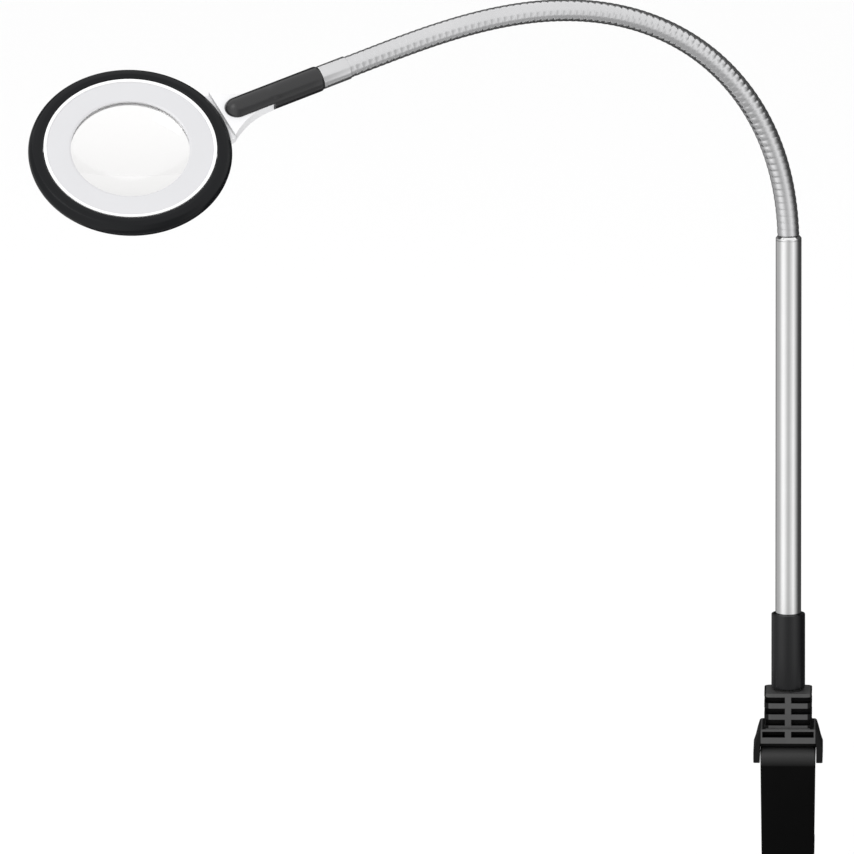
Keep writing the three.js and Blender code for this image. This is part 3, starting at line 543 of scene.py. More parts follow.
def carved(build, tools, joined=()):
    """A bmesh with others joined to it and then cut out of it."""
    piece = loose(build, "blank")
    helpers = []
    for kind, others in (("UNION", joined), ("DIFFERENCE", tools)):
        for other in others:
            helper = loose(other)
            helpers.append(helper)
            boolean = piece.modifiers.new(kind, "BOOLEAN")
            boolean.operation = kind
            boolean.solver = "EXACT"
            boolean.object = helper
    result = applied(piece)
    for helper in helpers:
        mesh = helper.data
        bpy.data.objects.remove(helper)
        bpy.data.meshes.remove(mesh)
    return result


def bevelled(build, width, steps=3, angle=30):
    """A bmesh with its sharp edges rounded."""
    bmesh.ops.remove_doubles(build, verts=build.verts, dist=1e-3)
    bmesh.ops.dissolve_limit(build, angle_limit=math.radians(1), use_dissolve_boundaries=False,
                             verts=build.verts, edges=build.edges)
    piece = loose(build, "blank")
    bevel = piece.modifiers.new("bevel", "BEVEL")
    bevel.width = width
    bevel.segments = steps
    bevel.limit_method = "ANGLE"
    bevel.angle_limit = math.radians(angle)
    bevel.use_clamp_overlap = True
    bevel.harden_normals = False
    return applied(piece)


def split(build, place, facing):
    """Cuts the faces along a plane, so that each side can have its own finish."""
    geometry = [*build.verts, *build.edges, *build.faces]
    bmesh.ops.bisect_plane(build, geom=geometry, dist=1e-4, plane_co=place, plane_no=facing)


def rounded_rectangle(x0, x1, y0, y1, radius, steps=8):
    return softened([(x0, y0), (x1, y0), (x1, y1), (x0, y1)], radius, steps)


# ---------------------------------------------------------------- clamp

FRAME_HALF = 21.5
FRAME_TAPER = 0.026             # how much narrower the frame is for each millimetre further down
ARM_TOP_Z = 13
ARM_UNDER_Z = 3
BACK_OUT_Y = -24
BACK_IN_Y = -12
JAW_END_Y = 46
LOW_ARM_TOP_Z = -66
LOW_ARM_UNDER_Z = -80
BOSS_R = 13
BOSS_UNDER_Z = -88
HIGHLIGHT_UNDER_Z = -20              # the painted highlight on the frame's bend ends here
SCREW_Y = JOINTS["screw_turn"]["pos_m"][1] / MM
SCREW_HOLE_R = 6.2
NUT_R = 9.5                     # across its corners
NUT_HEIGHT = 6.8
NUT_BORE_R = 5.85
JAW_PAD_HALF = 19
JAW_PAD_THICK = 2.9
PAD_GROOVE = 0.5                # how deep the pads' grooves are
PAD_R = 15.5
PAD_TOP_Z = -35
PAD_THICK = 2.5
PLATE_R = 16
PLATE_TOP_Z = -37.6
BALL_Z = -44                    # the spindle's ball end, in the pressure plate's seat
BALL_R = 4
BALL_STEPS = 12
BALL_WAIST_R = 2.6
SEAT_R = 4.3
SEAT_STEPS = 8


def make_clamp_frame():
    boss_end = SCREW_Y + BOSS_R + 4
    side = softened([
        (JAW_END_Y, ARM_UNDER_Z, 3), (JAW_END_Y, ARM_TOP_Z, 5), (BACK_OUT_Y, ARM_TOP_Z, 13),
        (BACK_OUT_Y, LOW_ARM_UNDER_Z, 13), (boss_end, LOW_ARM_UNDER_Z, 4), (boss_end, LOW_ARM_TOP_Z, 3),
        (BACK_IN_Y, LOW_ARM_TOP_Z, 6), (BACK_IN_Y, ARM_UNDER_Z, 6),
    ], 3, 12)
    blank = prism(side, -FRAME_HALF, FRAME_HALF, "yzx")
    for vertex in blank.verts:
        vertex.co.x *= 1 - FRAME_TAPER * (ARM_TOP_Z - vertex.co.z) / (2 * FRAME_HALF)
    blank = bevelled(blank, 1.6, 4, 40)
    boss = bevelled(rod(BOSS_R, BOSS_UNDER_Z, LOW_ARM_UNDER_Z + 2, 0, SCREW_Y, 72), 0.9, 3)
    tools = [
        rod(SCREW_HOLE_R, BOSS_UNDER_Z - 1, LOW_ARM_TOP_Z + 1, 0, SCREW_Y),
        rod(NUT_R + 0.2, LOW_ARM_TOP_Z - NUT_HEIGHT - 0.5, LOW_ARM_TOP_Z + 1, 0, SCREW_Y, 6),
    ]
    piece = finish_mesh("clamp_frame_cast", carved(blank, tools, [boss]), FRAME_BLACK, UPRIGHT, "clamp",
                        ["clamp_frame"], 40)
    # Painted highlight: the front faces above the bend's lower end take the finish that pales toward the
    # top.
    piece.data.materials.append(FRAME_BEND_HIGHLIGHT)
    for face in piece.data.polygons:
        on_highlight = face.normal.y < -0.05 and face.center.z > HIGHLIGHT_UNDER_Z * MM
        face.material_index = 1 if on_highlight else 0


def make_jaw_pads():
    deep = PAD_GROOVE
    pad = prism(rounded_rectangle(-JAW_PAD_HALF, JAW_PAD_HALF, -6.5, 43, 3), 0, JAW_PAD_THICK)
    across = JAW_PAD_HALF + 1
    grooves = [box(-across, across, y - deep, y + deep, -deep, deep) for y in range(4, 42, 5)]
    finish_mesh("upper_jaw_rubber", bevelled(carved(pad, grooves), 0.25, 2), RUBBER_BLACK, UPRIGHT, "clamp",
                ["upper_jaw_pad"])
    top, low = PAD_TOP_Z, PAD_TOP_Z - PAD_THICK
    grooves = []
    for radius in (13.5, 10.5, 7.5, 4.5):
        grooves += [(radius + 0.5, top), (radius + 0.4, top - deep)]
        grooves += [(radius - 0.4, top - deep), (radius - 0.5, top)]
    turned("lower_jaw_rubber", [(0, low), (PAD_R, low), (PAD_R, top), *grooves, (0, top)], RUBBER_BLACK,
           SCREW_LINE, "clamp_pad", ["lower_jaw_pad"], closed=False, fillet=0.15)


HOOD_HALF = 26.9
HOOD_TOP_HALF = 21.9
HOOD_TOP_Z = 28.6
HOOD_FRONT_Y = 21.5
EAR_UNDER_Z = 2
EAR_IN = 21.85
LIP_UNDER_Z = 17.4
LIP_REAR_Y = -13
COLUMN_HALF = 18.5
COLUMN_FRONT_Y = 18
COLUMN_TOP_Z = 56
COLUMN_CORNER_R = 6
RIB_PITCH = 8.8
TOP_RIB = 2.8
POCKET_ROWS = 4
POCKET_HEIGHT = 4.7
POCKET_DEPTH = 7
POCKET_OUT = 17.3
HOOD_POCKET_OUT = 20
WEB_HALF = 2.4
SLOT_AT = 19                    # the shallow slots along the column's sides
SHADE_HALF = 21.2               # painted shade covers the hood outside its ribs


def make_saddle():
    half = [(HOOD_HALF, EAR_UNDER_Z, 1), (HOOD_HALF, 11.4, 4), (HOOD_HALF - 1.6, 16.1, 3), (23.7, 22.6, 4),
            (HOOD_TOP_HALF, HOOD_TOP_Z, 2.5)]
    outline = softened(half + [(-x, z, r) for x, z, r in reversed(half)] + [
        (-EAR_IN, EAR_UNDER_Z, 0.6), (-EAR_IN, ARM_TOP_Z + 0.3, 1.2),
        (EAR_IN, ARM_TOP_Z + 0.3, 1.2), (EAR_IN, EAR_UNDER_Z, 0.6),
    ], 1, 6)
    hood = prism(outline, -HOOD_FRONT_Y, HOOD_FRONT_Y, "xzy")
    plan = rounded_rectangle(-COLUMN_HALF, COLUMN_HALF, -COLUMN_FRONT_Y, COLUMN_FRONT_Y, COLUMN_CORNER_R)
    column = prism(plan, HOOD_TOP_Z - 6, COLUMN_TOP_Z)
    tools = [
        box(-EAR_IN, EAR_IN, -HOOD_FRONT_Y - 1, LIP_REAR_Y, ARM_TOP_Z - 1, LIP_UNDER_Z),
        rod(9.15, 23, COLUMN_TOP_Z + 1),
        rod(10.4, ARM_TOP_Z - 1, 24),
    ]
    for row in range(POCKET_ROWS):
        top = COLUMN_TOP_Z - TOP_RIB - row * RIB_PITCH
        low = top - POCKET_HEIGHT
        on_hood = low < HOOD_TOP_Z
        face = HOOD_FRONT_Y if on_hood else COLUMN_FRONT_Y
        outer = HOOD_POCKET_OUT if on_hood else POCKET_OUT
        floor = COLUMN_FRONT_Y - POCKET_DEPTH
        for x0, x1 in ((WEB_HALF, outer), (-outer, -WEB_HALF)):
            tools.append(box(x0, x1, floor, face + 1, low, top))
            tools.append(box(x0, x1, -face - 1, -floor, low, top))
        if not on_hood:
            tools += [box(x - 1.3, x + 1.3, -SLOT_AT, SLOT_AT, low, top) for x in (-SLOT_AT, SLOT_AT)]
    build = bevelled(carved(hood, tools, [column]), 0.45, 3)
    # These cuts bound the painted shade.
    for x in (-SHADE_HALF, -POCKET_OUT, POCKET_OUT, SHADE_HALF):
        split(build, (x, 0, 0), (1, 0, 0))
    split(build, (0, 0, LIP_UNDER_Z + 0.2), (0, 0, 1))
    split(build, (0, 0, HOOD_TOP_Z - 0.5), (0, 0, 1))
    piece = finish_mesh(
        "saddle_ribbed", build, SADDLE_BLACK, UPRIGHT, "clamp", ["clamp_saddle"], 40)
    # Painted shade: the pockets, the column's and the hood's sides outside the ribs, and everything below
    # the lip take a near-black finish.
    piece.data.materials.append(SADDLE_PAINTED_SHADE)
    for face in piece.data.polygons:
        x, y, z = (abs(value) / MM for value in face.center)
        front, edge = (HOOD_FRONT_Y, SHADE_HALF) if z < HOOD_TOP_Z else (COLUMN_FRONT_Y, POCKET_OUT)
        pocket = x < HOOD_POCKET_OUT - 0.2 and y < front - 0.6 and z < COLUMN_TOP_Z - TOP_RIB + 0.2
        side = x > edge or z < LIP_UNDER_Z
        face.material_index = 1 if side or pocket else 0


KNOB_TOP_Z = -123
KNOB_HEIGHT = 17
KNOB_R = 20
HUB_R = 9.5
CAP_R = 9
CAP_THICK = 2
KNOB_LOBES = 8
LOBE_DEPTH = 0.045
ON_AXIS = 0.001                 # as good as no radius
SPINDLE_END_R = 4
SPINDLE_SIDES = 48
THREAD_TOP_Z = -52.5
THREAD_PITCH = 2
THREAD_CORE_R = 5.0
THREAD_DEPTH = 5.6 - THREAD_CORE_R
THREAD_ROWS = 8                 # for each turn
THREAD_FADE = 3                 # the thread runs out over this much at both ends


def thread_row(height, low, high):
    fade = min(1, (height - low) / THREAD_FADE, (high - height) / THREAD_FADE)
    row = []
    for k in range(SPINDLE_SIDES):
        phase = (height / THREAD_PITCH - k / SPINDLE_SIDES) % 1
        ridge = 1 - abs(2 * phase - 1)
        radius = THREAD_CORE_R + THREAD_DEPTH * min(1, ridge * 1.35) * max(0, fade)
        angle = TURN * k / SPINDLE_SIDES
        row.append((radius * math.cos(angle), radius * math.sin(angle), height))
    return row


def make_clamp_screw():
    low, high = KNOB_TOP_Z + 1, THREAD_TOP_Z
    sides = SPINDLE_SIDES
    rows = [ring(ON_AXIS, low - 6, sides)]
    rows += [ring(SPINDLE_END_R, height, sides) for height in (low - 6, low - 0.6)]
    steps = int((high - low) / THREAD_PITCH * THREAD_ROWS)
    rows += [thread_row(low + (high - low) * i / steps, low, high) for i in range(steps + 1)]
    waist = [(4.2, high + 0.8), (BALL_WAIST_R, high + 2.2), (BALL_WAIST_R, BALL_Z - 3)]
    waist = softened(waist, 0.4, closed=False)
    rows += [ring(radius, height, sides) for radius, height in waist]
    for step in range(1, BALL_STEPS + 1):
        angle = math.radians(-49 + (89.9 + 49) * step / BALL_STEPS)
        rows.append(ring(BALL_R * math.cos(angle), BALL_Z + BALL_R * math.sin(angle), sides))
    build = bmesh.new()
    skin(build, rows, False)
    bmesh.ops.holes_fill(build, edges=build.edges, sides=sides)
    finish_mesh("spindle_threaded", build, ZINC, SCREW_LINE, "clamp_screw",
                ["clamp_spindle"])

    def lobes(angle, height):
        """Lobes round the knob's grip, and none on its hub."""
        depth = LOBE_DEPTH if height < KNOB_TOP_Z - 2.6 else 0
        return 1 - depth * (1 - math.cos(KNOB_LOBES * angle))

    bottom = KNOB_TOP_Z - KNOB_HEIGHT
    knob = [
        (CAP_R + 0.2, bottom + 2.2), (CAP_R + 0.2, bottom, 0.3), (KNOB_R, bottom, 3),
        (KNOB_R, KNOB_TOP_Z - 3, 2.4), (12, KNOB_TOP_Z - 2.4, 1), (HUB_R, KNOB_TOP_Z, 1),
        (SPINDLE_END_R + 0.2, KNOB_TOP_Z), (SPINDLE_END_R + 0.2, bottom + 4), (ON_AXIS, bottom + 4),
        (ON_AXIS, bottom + 2.2),
    ]
    turned("knob_lobed", knob, COLLAR_BLACK, SCREW_LINE, "clamp_screw", ["clamp_knob"],
           sides=192, shape=lobes)
    cap = [(0, bottom), (CAP_R, bottom, 0.5), (CAP_R, bottom + CAP_THICK), (0, bottom + CAP_THICK)]
    turned("knob_cap_disc", cap, RIM_BLACK, SCREW_LINE, "clamp_screw", ["knob_cap"],
           closed=False)


def make_pressure_plate():
    top = PLATE_TOP_Z
    seat = []
    for step in range(SEAT_STEPS + 1):
        angle = math.radians(84 - (84 + 18) * step / SEAT_STEPS)
        seat.append((SEAT_R * math.cos(angle), BALL_Z + SEAT_R * math.sin(angle), 0))
    plate = [
        (0, BALL_Z + SEAT_R), *seat, (6.1, BALL_Z - 1.3), (7.3, top - 4, 1), (PLATE_R, top - 2.2, 0.5),
        (PLATE_R, top, 0.4), (0, top),
    ]
    turned("pressure_plate_cast", plate, FRAME_BLACK, SCREW_LINE, "clamp_pad",
           ["pressure_plate"], closed=False)


def make_screw_nut():
    top = LOW_ARM_TOP_Z - 0.2
    nut = rod(NUT_R, top - NUT_HEIGHT, top, sides=6)
    build = bevelled(carved(nut, [rod(NUT_BORE_R, top - NUT_HEIGHT - 1, top + 1.2)]), 0.4, 2)
    finish_mesh("screw_nut_hexagon", build, NUT_BRASS, SCREW_LINE, "clamp", ["screw_nut"])


# ---------------------------------------------------------------- pole

TUBE_R = 10
TUBE_IN_R = 8.5
TUBE_BOTTOM_Z = 61.5
TUBE_TOP_Z = 411
COLLAR_BOTTOM_Z = 57.5
COLLAR_TOP_Z = 116.5
COLLAR_R = 13.1
COLLAR_IN_R = 10.15
ANCHOR_BOTTOM_Z = 375
ANCHOR_IN_R = 4
GLAND_Y = 8.1
GLAND_Z = 74
GLAND_RIDGES = 4


def make_pole():
    tube = [
        (TUBE_IN_R, TUBE_BOTTOM_Z), (TUBE_R, TUBE_BOTTOM_Z), (TUBE_R, TUBE_TOP_Z), (TUBE_IN_R, TUBE_TOP_Z),
    ]
    turned("pole_tube_satin", tube, TUBE_SILVER, UPRIGHT, "pole", ["pole_tube"],
           fillet=0.25, sides=128)
    collar = [
        (COLLAR_IN_R, COLLAR_BOTTOM_Z), (COLLAR_R, COLLAR_BOTTOM_Z, 0.8), (COLLAR_R, COLLAR_TOP_Z, 1.6),
        (11.3, COLLAR_TOP_Z, 0.3), (11.1, COLLAR_TOP_Z - 0.9, 0.2), (COLLAR_IN_R, COLLAR_TOP_Z - 0.9),
    ]
    turned("collar_moulded", collar, COLLAR_BLACK, UPRIGHT, "pole", ["pole_collar"],
           sides=128)
    ridges = []
    for step in range(GLAND_RIDGES):
        out, ridge = 8.6 + step * 2.2, 4.55 - step * 0.15
        ridges += [(ridge, out), (ridge, out + 1.3), (3.6, out + 1.4), (3.6, out + 2.1)]
    sleeve = [
        (1.8, 0), (3.4, 0), (3.4, 5.2), (5.4, 5.3, 0.6), (5.4, 7.8, 0.6), *ridges, (3.6, 17.3), (1.8, 17.3),
    ]
    aside = Matrix.Rotation(-math.pi / 2, 4, "X")
    place = Matrix.Translation((0, GLAND_Y * MM, GLAND_Z * MM)) @ aside @ UPRIGHT
    turned("cord_gland_ribbed", sleeve, RUBBER_BLACK, place, "pole", ["cord_gland"],
           fillet=0.2)
    cap = TUBE_TOP_Z + 0.2
    anchor = [
        (ANCHOR_IN_R, ANCHOR_BOTTOM_Z), (8.3, ANCHOR_BOTTOM_Z), (8.3, cap, 0), (TUBE_R, cap, 0.2),
        (TUBE_R, cap + 1.4, 0.6), (8.7, cap + 3, 0.3), (ANCHOR_IN_R, cap + 3),
    ]
    turned("neck_anchor_cap", anchor, TUBE_SILVER, UPRIGHT, "pole", ["neck_anchor"],
           sides=128)


# ---------------------------------------------------------------- gooseneck

NECK_R = 8.5
WIND_PITCH = 5.45
GROOVE = 0.22                   # how deep the winding's groove is
NECK_SIDES = 40
ROWS_PER_TURN = 14
NECK_START_Z = TUBE_TOP_Z + 3.0
NECK_ROOT_Z = 401
NECK_BENT_LENGTH = 478
NECK_LENGTH = 515
NECK_END_ANGLE = math.radians(106.5)
NECK_EASE = 1.256
NECK_STEPS = 400
NECK_BEND_X = -50               # the neck has left the pole's line by here
HEADING_REACH = 2               # the neck's heading is taken across this much on either side
FERRULE_LENGTH = 23.6
FERRULE_R = 9.2
FERRULE_IN_R = 7.6
TUCKED_IN = 0.6                 # how far the winding goes into the ferrule
SPIGOT_R = 5.5                  # the head turns on this
SPIGOT_IN_R = 2.4
SPIGOT_COLLAR_R = 7.2


def neck_joint_names():
    names = [name for name in JOINTS if name.startswith(("neck_bend", "neck_sway"))]
    parents = {JOINTS[name]["parent"]: name for name in names}
    chain, body = [], "pole"
    while body in parents:
        chain.append(parents[body])
        body = JOINTS[parents[body]]["child"]
    return chain


def neck_heading(along):
    """The neck's lean from upright at a distance along it."""
    part = min(1, along / NECK_BENT_LENGTH)
    return NECK_END_ANGLE * math.sin(math.pi / 2 * part) ** NECK_EASE


def neck_line():
    """The neck's smooth curve, eased a little along its length so that it ends on the head's roll joint."""
    forward = NECK_SIDE.cross(Vector((0, 0, 1)))
    here = Vector((0, 0, NECK_ROOT_Z * MM))
    stride = NECK_LENGTH * MM / NECK_STEPS
    points = [here.copy()]
    for k in range(NECK_STEPS):
        lean = neck_heading((k + 0.5) * NECK_LENGTH / NECK_STEPS)
        here += (forward * math.sin(lean) + Vector((0, 0, 1)) * math.cos(lean)) * stride
        points.append(here.copy())
    miss = joint_point("head_roll") - here
    eased = [point + miss * (k / NECK_STEPS) ** 2 for k, point in enumerate(points)]
    return [point for point in eased if point.z > NECK_START_Z * MM or point.x < NECK_BEND_X * MM]


class Line:
    """A polyline read by distance along it."""

    def __init__(self, points):
        self.points = points
        self.far = [0.0]
        for a, b in zip(points, points[1:]):
            self.far.append(self.far[-1] + (b - a).length)

    def at(self, distance):
        distance = min(max(distance, 0), self.far[-1])
        k = next((i for i in range(len(self.far) - 1) if self.far[i + 1] >= distance), len(self.far) - 2)
        share = (distance - self.far[k]) / (self.far[k + 1] - self.far[k])
        return self.points[k].lerp(self.points[k + 1], share)

    def heading(self, distance):
        reach = HEADING_REACH * MM
        return (self.at(distance + reach) - self.at(distance - reach)).normalized()

    def nearest(self, point):
        k = min(range(len(self.points)), key=lambda i: (self.points[i] - point).length)
        return self.far[k]


def wound_radius(distance, angle):
    """The winding: round crests with a narrow groove between, one pitch further along for each turn."""
    phase = (distance / MM / WIND_PITCH + angle / TURN) % 1
    return NECK_R - GROOVE * abs(math.cos(math.pi * phase)) ** 4


def wound_row(line, distance):
    centre, ahead = line.at(distance), line.heading(distance)
    across = NECK_SIDE.cross(ahead).normalized()
    row = []
    for k in range(NECK_SIDES):
        angle = TURN * k / NECK_SIDES
        reach = wound_radius(distance, angle) * MM
        row.append(centre + (across * math.cos(angle) + NECK_SIDE * math.sin(angle)) * reach)
    return row


def make_gooseneck():
    """The winding, one piece for each joint, each reaching from halfway to the joint before to halfway to
    the joint after.
    """
    line = Line(neck_line())
    names = neck_joint_names()
    places = [line.nearest(joint_point(name)) for name in names]
    last = line.far[-1] - (FERRULE_LENGTH - TUCKED_IN) * MM
    edges = [0.0] + [(a + b) / 2 for a, b in zip(places, places[1:])] + [last]
    for k, name in enumerate(names):
        low, high = edges[k], edges[k + 1]
        count = max(2, round((high - low) / MM / WIND_PITCH * ROWS_PER_TURN))
        build = bmesh.new()
        skin(build, [wound_row(line, low + (high - low) * i / count) for i in range(count + 1)], False)
        joint = JOINTS[name]
        hidden = [node for node, solid in frame["nodes"].items()
                  if solid["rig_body"] == joint["child"] and node.startswith("gooseneck")]
        piece = finish_wound(f"gooseneck_winding_{k + 1:02d}", build)
        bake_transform(piece)
        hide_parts(*hidden)


def make_neck_end():
    place = axes_at(joint_point("head_roll"), NECK_ACROSS, NECK_SIDE, NECK_OUT)
    ferrule = [
        (FERRULE_IN_R, -FERRULE_LENGTH), (FERRULE_R, -FERRULE_LENGTH, 0.7), (FERRULE_R, -0.2, 0.3),
        (FERRULE_IN_R, -0.2),
    ]
    turned("neck_ferrule_turned", ferrule, FERRULE_SILVER, place, "neck_end",
           ["neck_ferrule"])
    spigot = [
        (SPIGOT_IN_R, -22), (7.4, -22), (7.4, 0.2), (SPIGOT_R, 0.2), (SPIGOT_R, 13.5),
        (SPIGOT_COLLAR_R, 13.5), (SPIGOT_COLLAR_R, 16.5), (SPIGOT_R, 16.5), (SPIGOT_R, 19.5),
        (SPIGOT_IN_R, 19.5),
    ]
    turned("roll_spigot", spigot, ZINC, place, "neck_end", sides=64, fillet=0.2)


def finish_wound(name, build):
    bmesh.ops.recalc_face_normals(build, faces=build.faces)
    mesh = bpy.data.meshes.new(name)
    build.to_mesh(mesh)
    build.free()
    mesh.materials.append(NECK_SILVER)
    mesh.shade_smooth()
    piece = bpy.data.objects.new(name, mesh)
    bpy.context.scene.collection.objects.link(piece)
    return piece


# ---------------------------------------------------------------- head

RIM_OUT_R = 78
RIM_IN_R = 66.6
SHELL_OUT_R = 66.2
WINDOW_R = 45.4
FACE_Z = 5.6
LENS_R = 47.5
LENS_EDGE = 1.5                 # half its thickness at the edge
LENS_CENTRE = 6.1               # and at its centre
LENS_STEPS = 16
SHELL_UNDER_Z = -7.2
GRIP_SLEEVE_X = 119.5
GRIP_TIP_X = 81
GRIP_R = 10
GRIP_POINTS = 26
PART_HALF = 0.15                # half the gap between the grip's two halves
ARM_TOP = 4
ARM_UNDER = -5.5
ARM_NARROW = 8                  # half the arm's width at the grip
ARM_WIDE = 23                   # and at the rim
BEZEL_R = 64.1                  # where the face ring ends and the bright edge round it starts
CHANNEL_R = 49.6                # the inner wall of the lamps' channel
CHANNEL_OUT_R = 64.2            # and its outer one
SEAT_WALL_R = 47.9              # the wall round the lens's seat
BOARD_IN_R = 50.2
BOARD_OUT_R = 58.6
BOARD_UNDER_Z = -3.4
BOARD_THICK = 1.6
LED_COUNT = 24
LED_HALF = 1.5
LED_RING_R = (BOARD_IN_R + BOARD_OUT_R) / 2
DIFFUSER_TOP_Z = -5.5
DIFFUSER_THICK = 1.3


def arm_half(x):
    """Half the arm's width, wide at the rim and drawn in to the grip along a hollow curve."""
    part = min(1, max(0, (x - RIM_OUT_R) / (GRIP_SLEEVE_X - RIM_OUT_R)))
    return ARM_NARROW + (ARM_WIDE - ARM_NARROW) * (1 - part) ** 2.2


def arm_outline(extra, start, end, steps=28):
    xs = [start + (end - start) * k / steps for k in range(steps + 1)]
    return [(x, -arm_half(x) - extra) for x in xs] + [(x, arm_half(x) + extra) for x in reversed(xs)]


def make_rim():
    profile = [(RIM_IN_R, -7.2, 0.5), (69.5, -8, 2), (74.2, -7.4, 3), (77.2, -4.2, 3), (RIM_OUT_R, -0.6, 3),
               (77.2, 2.9, 3), (74.4, 5.4, 3), (70.6, 6.2, 2.5), (67.6, 5.9, 0.8), (RIM_IN_R, 5.2, 0.4)]
    build = bmesh.new()
    skin(build, [ring(radius, height, 180) for radius, height in softened(profile, 1)], True)
    bmesh.ops.recalc_face_normals(build, faces=build.faces)
    notch = prism(arm_outline(0.3, 60, 84), -12, 0.3)
    finish_mesh("head_rim_band", carved(build, [notch]), RIM_BLACK, HEAD, "head",
                ["head_rim"], 50)


def make_shells():
    face = [
        (WINDOW_R, 3.9), (BEZEL_R, 3.9), (BEZEL_R, FACE_Z - 0.8), (63.0, FACE_Z - 0.6, 0.4),
        (WINDOW_R + 1.6, FACE_Z - 0.9, 0.8), (WINDOW_R, FACE_Z - 1.5, 0.2),
    ]
    turned("head_face_ring", face, FACE_GREY, HEAD, "head", ["head_top_shell"], sides=160)
    edge = [
        (BEZEL_R, 0.3), (SHELL_OUT_R, 0.3), (SHELL_OUT_R, FACE_Z, 0.3), (64.4, FACE_Z + 0.2, 0.5),
        (63.6, FACE_Z - 0.5, 0.3), (BEZEL_R, FACE_Z - 1),
    ]
    turned("head_face_edge", edge, BEZEL_WHITE, HEAD, "head", ["head_top_shell"], sides=160)
    channel = [
        (WINDOW_R, -3.8), (SEAT_WALL_R, -3.8), (SEAT_WALL_R, SHELL_UNDER_Z), (CHANNEL_R, SHELL_UNDER_Z, 0.4),
        (CHANNEL_R, -1.6), (CHANNEL_OUT_R, -1.6), (CHANNEL_OUT_R, SHELL_UNDER_Z),
        (SHELL_OUT_R, SHELL_UNDER_Z, 0.5), (SHELL_OUT_R, 0), (CHANNEL_R, 0), (CHANNEL_R, 3.5),
        (SEAT_WALL_R, 3.5), (SEAT_WALL_R, -2.3), (WINDOW_R, -2.3),
    ]
    turned("head_channel", channel, SHELL_WHITE, HEAD, "head", ["head_lower_shell"],
           fillet=0.15, sides=160)
    arm = prism(arm_outline(0, 64.9, GRIP_SLEEVE_X - 0.4), ARM_UNDER, 0)
    crown = prism(arm_outline(0, RIM_OUT_R + 0.5, GRIP_SLEEVE_X - 0.4), -0.5, ARM_TOP)
    build = carved(arm, [rod(66.0, -10, 10, sides=160)], [crown])
    finish_mesh("head_arm", bevelled(build, 1.1, 4, 40), SHELL_WHITE, HEAD, "head", sharp=40)


def make_lens():
    """The lens, each face a part of a ball, and the ring that holds it."""
    rise = LENS_CENTRE - LENS_EDGE
    curve = (LENS_R ** 2 + rise ** 2) / (2 * rise)
    spread = math.asin(LENS_R / curve)
    upper = []
    for step in range(LENS_STEPS + 1):
        angle = spread * (1 - step / LENS_STEPS)
        upper.append((curve * math.sin(angle), LENS_CENTRE - curve + curve * math.cos(angle), 0))
    lower = [(r, -z, 0) for r, z, _ in reversed(upper)]
    turned("lens_ground", [*lower, *upper], LENS_GLASS, HEAD, "head", ["magnifier_lens"],
           closed=False, sides=144, sharp=30)
    inner, outer = WINDOW_R + 0.3, SEAT_WALL_R - 0.2
    retainer = [(inner, 2.3), (outer, 2.3), (outer, 3.6), (inner, 3.6)]
    turned("lens_retaining_ring", retainer, SHELL_WHITE, HEAD, "head", ["lens_retainer"],
           fillet=0.2, sides=144)


def make_light():
    low, high = BOARD_UNDER_Z, BOARD_UNDER_Z + BOARD_THICK
    board = [(BOARD_IN_R, low), (BOARD_OUT_R, low), (BOARD_OUT_R, high), (BOARD_IN_R, high)]
    turned("board_ring", board, BOARD_WHITE, HEAD, "head", ["led_board"],
           fillet=0.1, sides=120)
    for k in range(LED_COUNT):
        turn = Matrix.Rotation(TURN * (k + 0.5) / LED_COUNT, 4, "Z")
        place = HEAD @ turn @ Matrix.Translation((LED_RING_R, 0, 0))
        block = box(-LED_HALF, LED_HALF, -LED_HALF, LED_HALF, low - 0.9, low - 0.05)
        lamp = bevelled(block, 0.15, 2)
        finish_mesh(f"board_lamp_{k + 1:02d}", lamp, LAMP_YELLOW, place, "head", ())
    inner, outer = CHANNEL_R + 0.4, CHANNEL_OUT_R - 0.4
    low, high = DIFFUSER_TOP_Z - DIFFUSER_THICK, DIFFUSER_TOP_Z
    diffuser = [(inner, low), (outer, low), (outer, high), (inner, high)]
    turned("diffuser_ring", diffuser, DIFFUSER_WHITE, HEAD, "head", ["light_diffuser"],
           fillet=0.35, sides=160)


def grip_section(x, side, chord):
    """A slice of the round-nosed grip, cut off flat at a height from its axis."""
    nose = GRIP_TIP_X + GRIP_R
    radius = GRIP_R if x >= nose else math.sqrt(max(0, GRIP_R ** 2 - (nose - x) ** 2))
    radius = max(radius, abs(chord) + 0.02)
    start = math.asin(min(1, abs(chord) / radius))
    section = []
    for k in range(GRIP_POINTS + 1):
        angle = start + (math.pi - 2 * start) * k / GRIP_POINTS
        section.append((x, radius * math.cos(angle), GRIP_AXIS_Z + side * radius * math.sin(angle)))
    return section


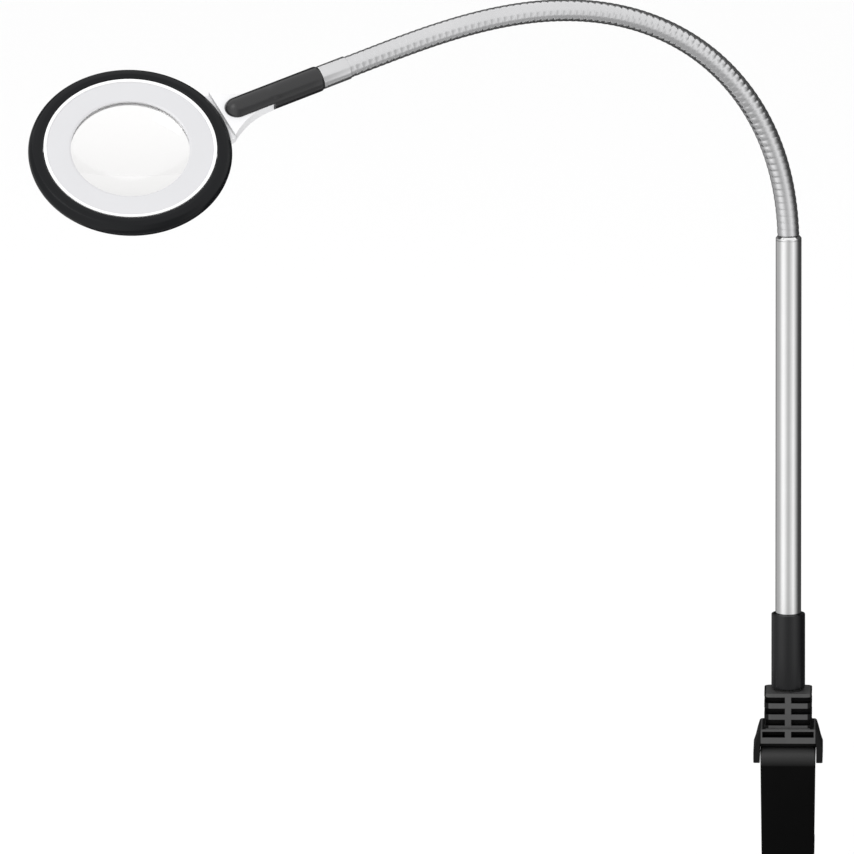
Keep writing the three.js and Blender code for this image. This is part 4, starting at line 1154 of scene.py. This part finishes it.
def grip_end(x, side, radius):
    """A slice of the grip's rounded end."""
    section = []
    for k in range(GRIP_POINTS + 1):
        angle = math.pi * k / GRIP_POINTS
        height = max(PART_HALF, radius * math.sin(angle))
        section.append((x, radius * math.cos(angle), GRIP_AXIS_Z + side * height))
    return section


def make_grip():
    for name, side, arm in (("upper", 1, ARM_TOP + 0.2), ("lower", -1, ARM_UNDER - 0.2)):
        on_arm = arm - GRIP_AXIS_Z
        nose = GRIP_TIP_X + GRIP_R
        tip = nose - math.sqrt(GRIP_R ** 2 - on_arm ** 2)
        xs = [nose - (nose - tip) * math.cos(math.pi / 2 * k / 12) for k in range(13)]
        xs += [nose + (GRIP_SLEEVE_X - nose) * k / 6 for k in range(1, 7)]
        sections = [grip_section(x, side, on_arm) for x in xs]
        end = GRIP_LENGTH - 0.2
        xs = [GRIP_SLEEVE_X + 0.01]
        xs += [GRIP_SLEEVE_X + (end - 2 - GRIP_SLEEVE_X) * k / 5 for k in range(1, 6)]
        sections += [grip_section(x, side, side * PART_HALF) for x in xs]
        for before, less in ((1.2, 0.15), (0.5, 0.5), (0.1, 1.0), (0, 1.5)):
            sections.append(grip_end(end - before, side, GRIP_R - less))
        lofted(f"grip_{name}_half", sections, GRIP_BLACK, HEAD, "head", [f"grip_{name}"], 40)


# ---------------------------------------------------------------- small parts that keep their frame solids

def dress(nodes, finish):
    for name in nodes:
        node = frame["nodes"][name]
        node.data.materials.clear()
        node.data.materials.append(finish)


def dress_small_parts():
    screws = [name for name in frame["nodes"] if "screw_" in name and name != "screw_nut"]
    dress(screws + ["swivel_spigot", "spigot_washer", "spigot_screw"], ZINC)
    dress(["swivel_bush"], BUSH_WHITE)
    dress(["friction_washer"], RUBBER_BLACK)
    dress(["pole_lead"], LEAD_BLACK)


make_camera()
make_studio()
make_clamp_frame()
make_jaw_pads()
make_saddle()
make_clamp_screw()
make_pressure_plate()
make_screw_nut()
make_pole()
make_gooseneck()
make_neck_end()
make_rim()
make_shells()
make_lens()
make_light()
make_grip()
dress_small_parts()
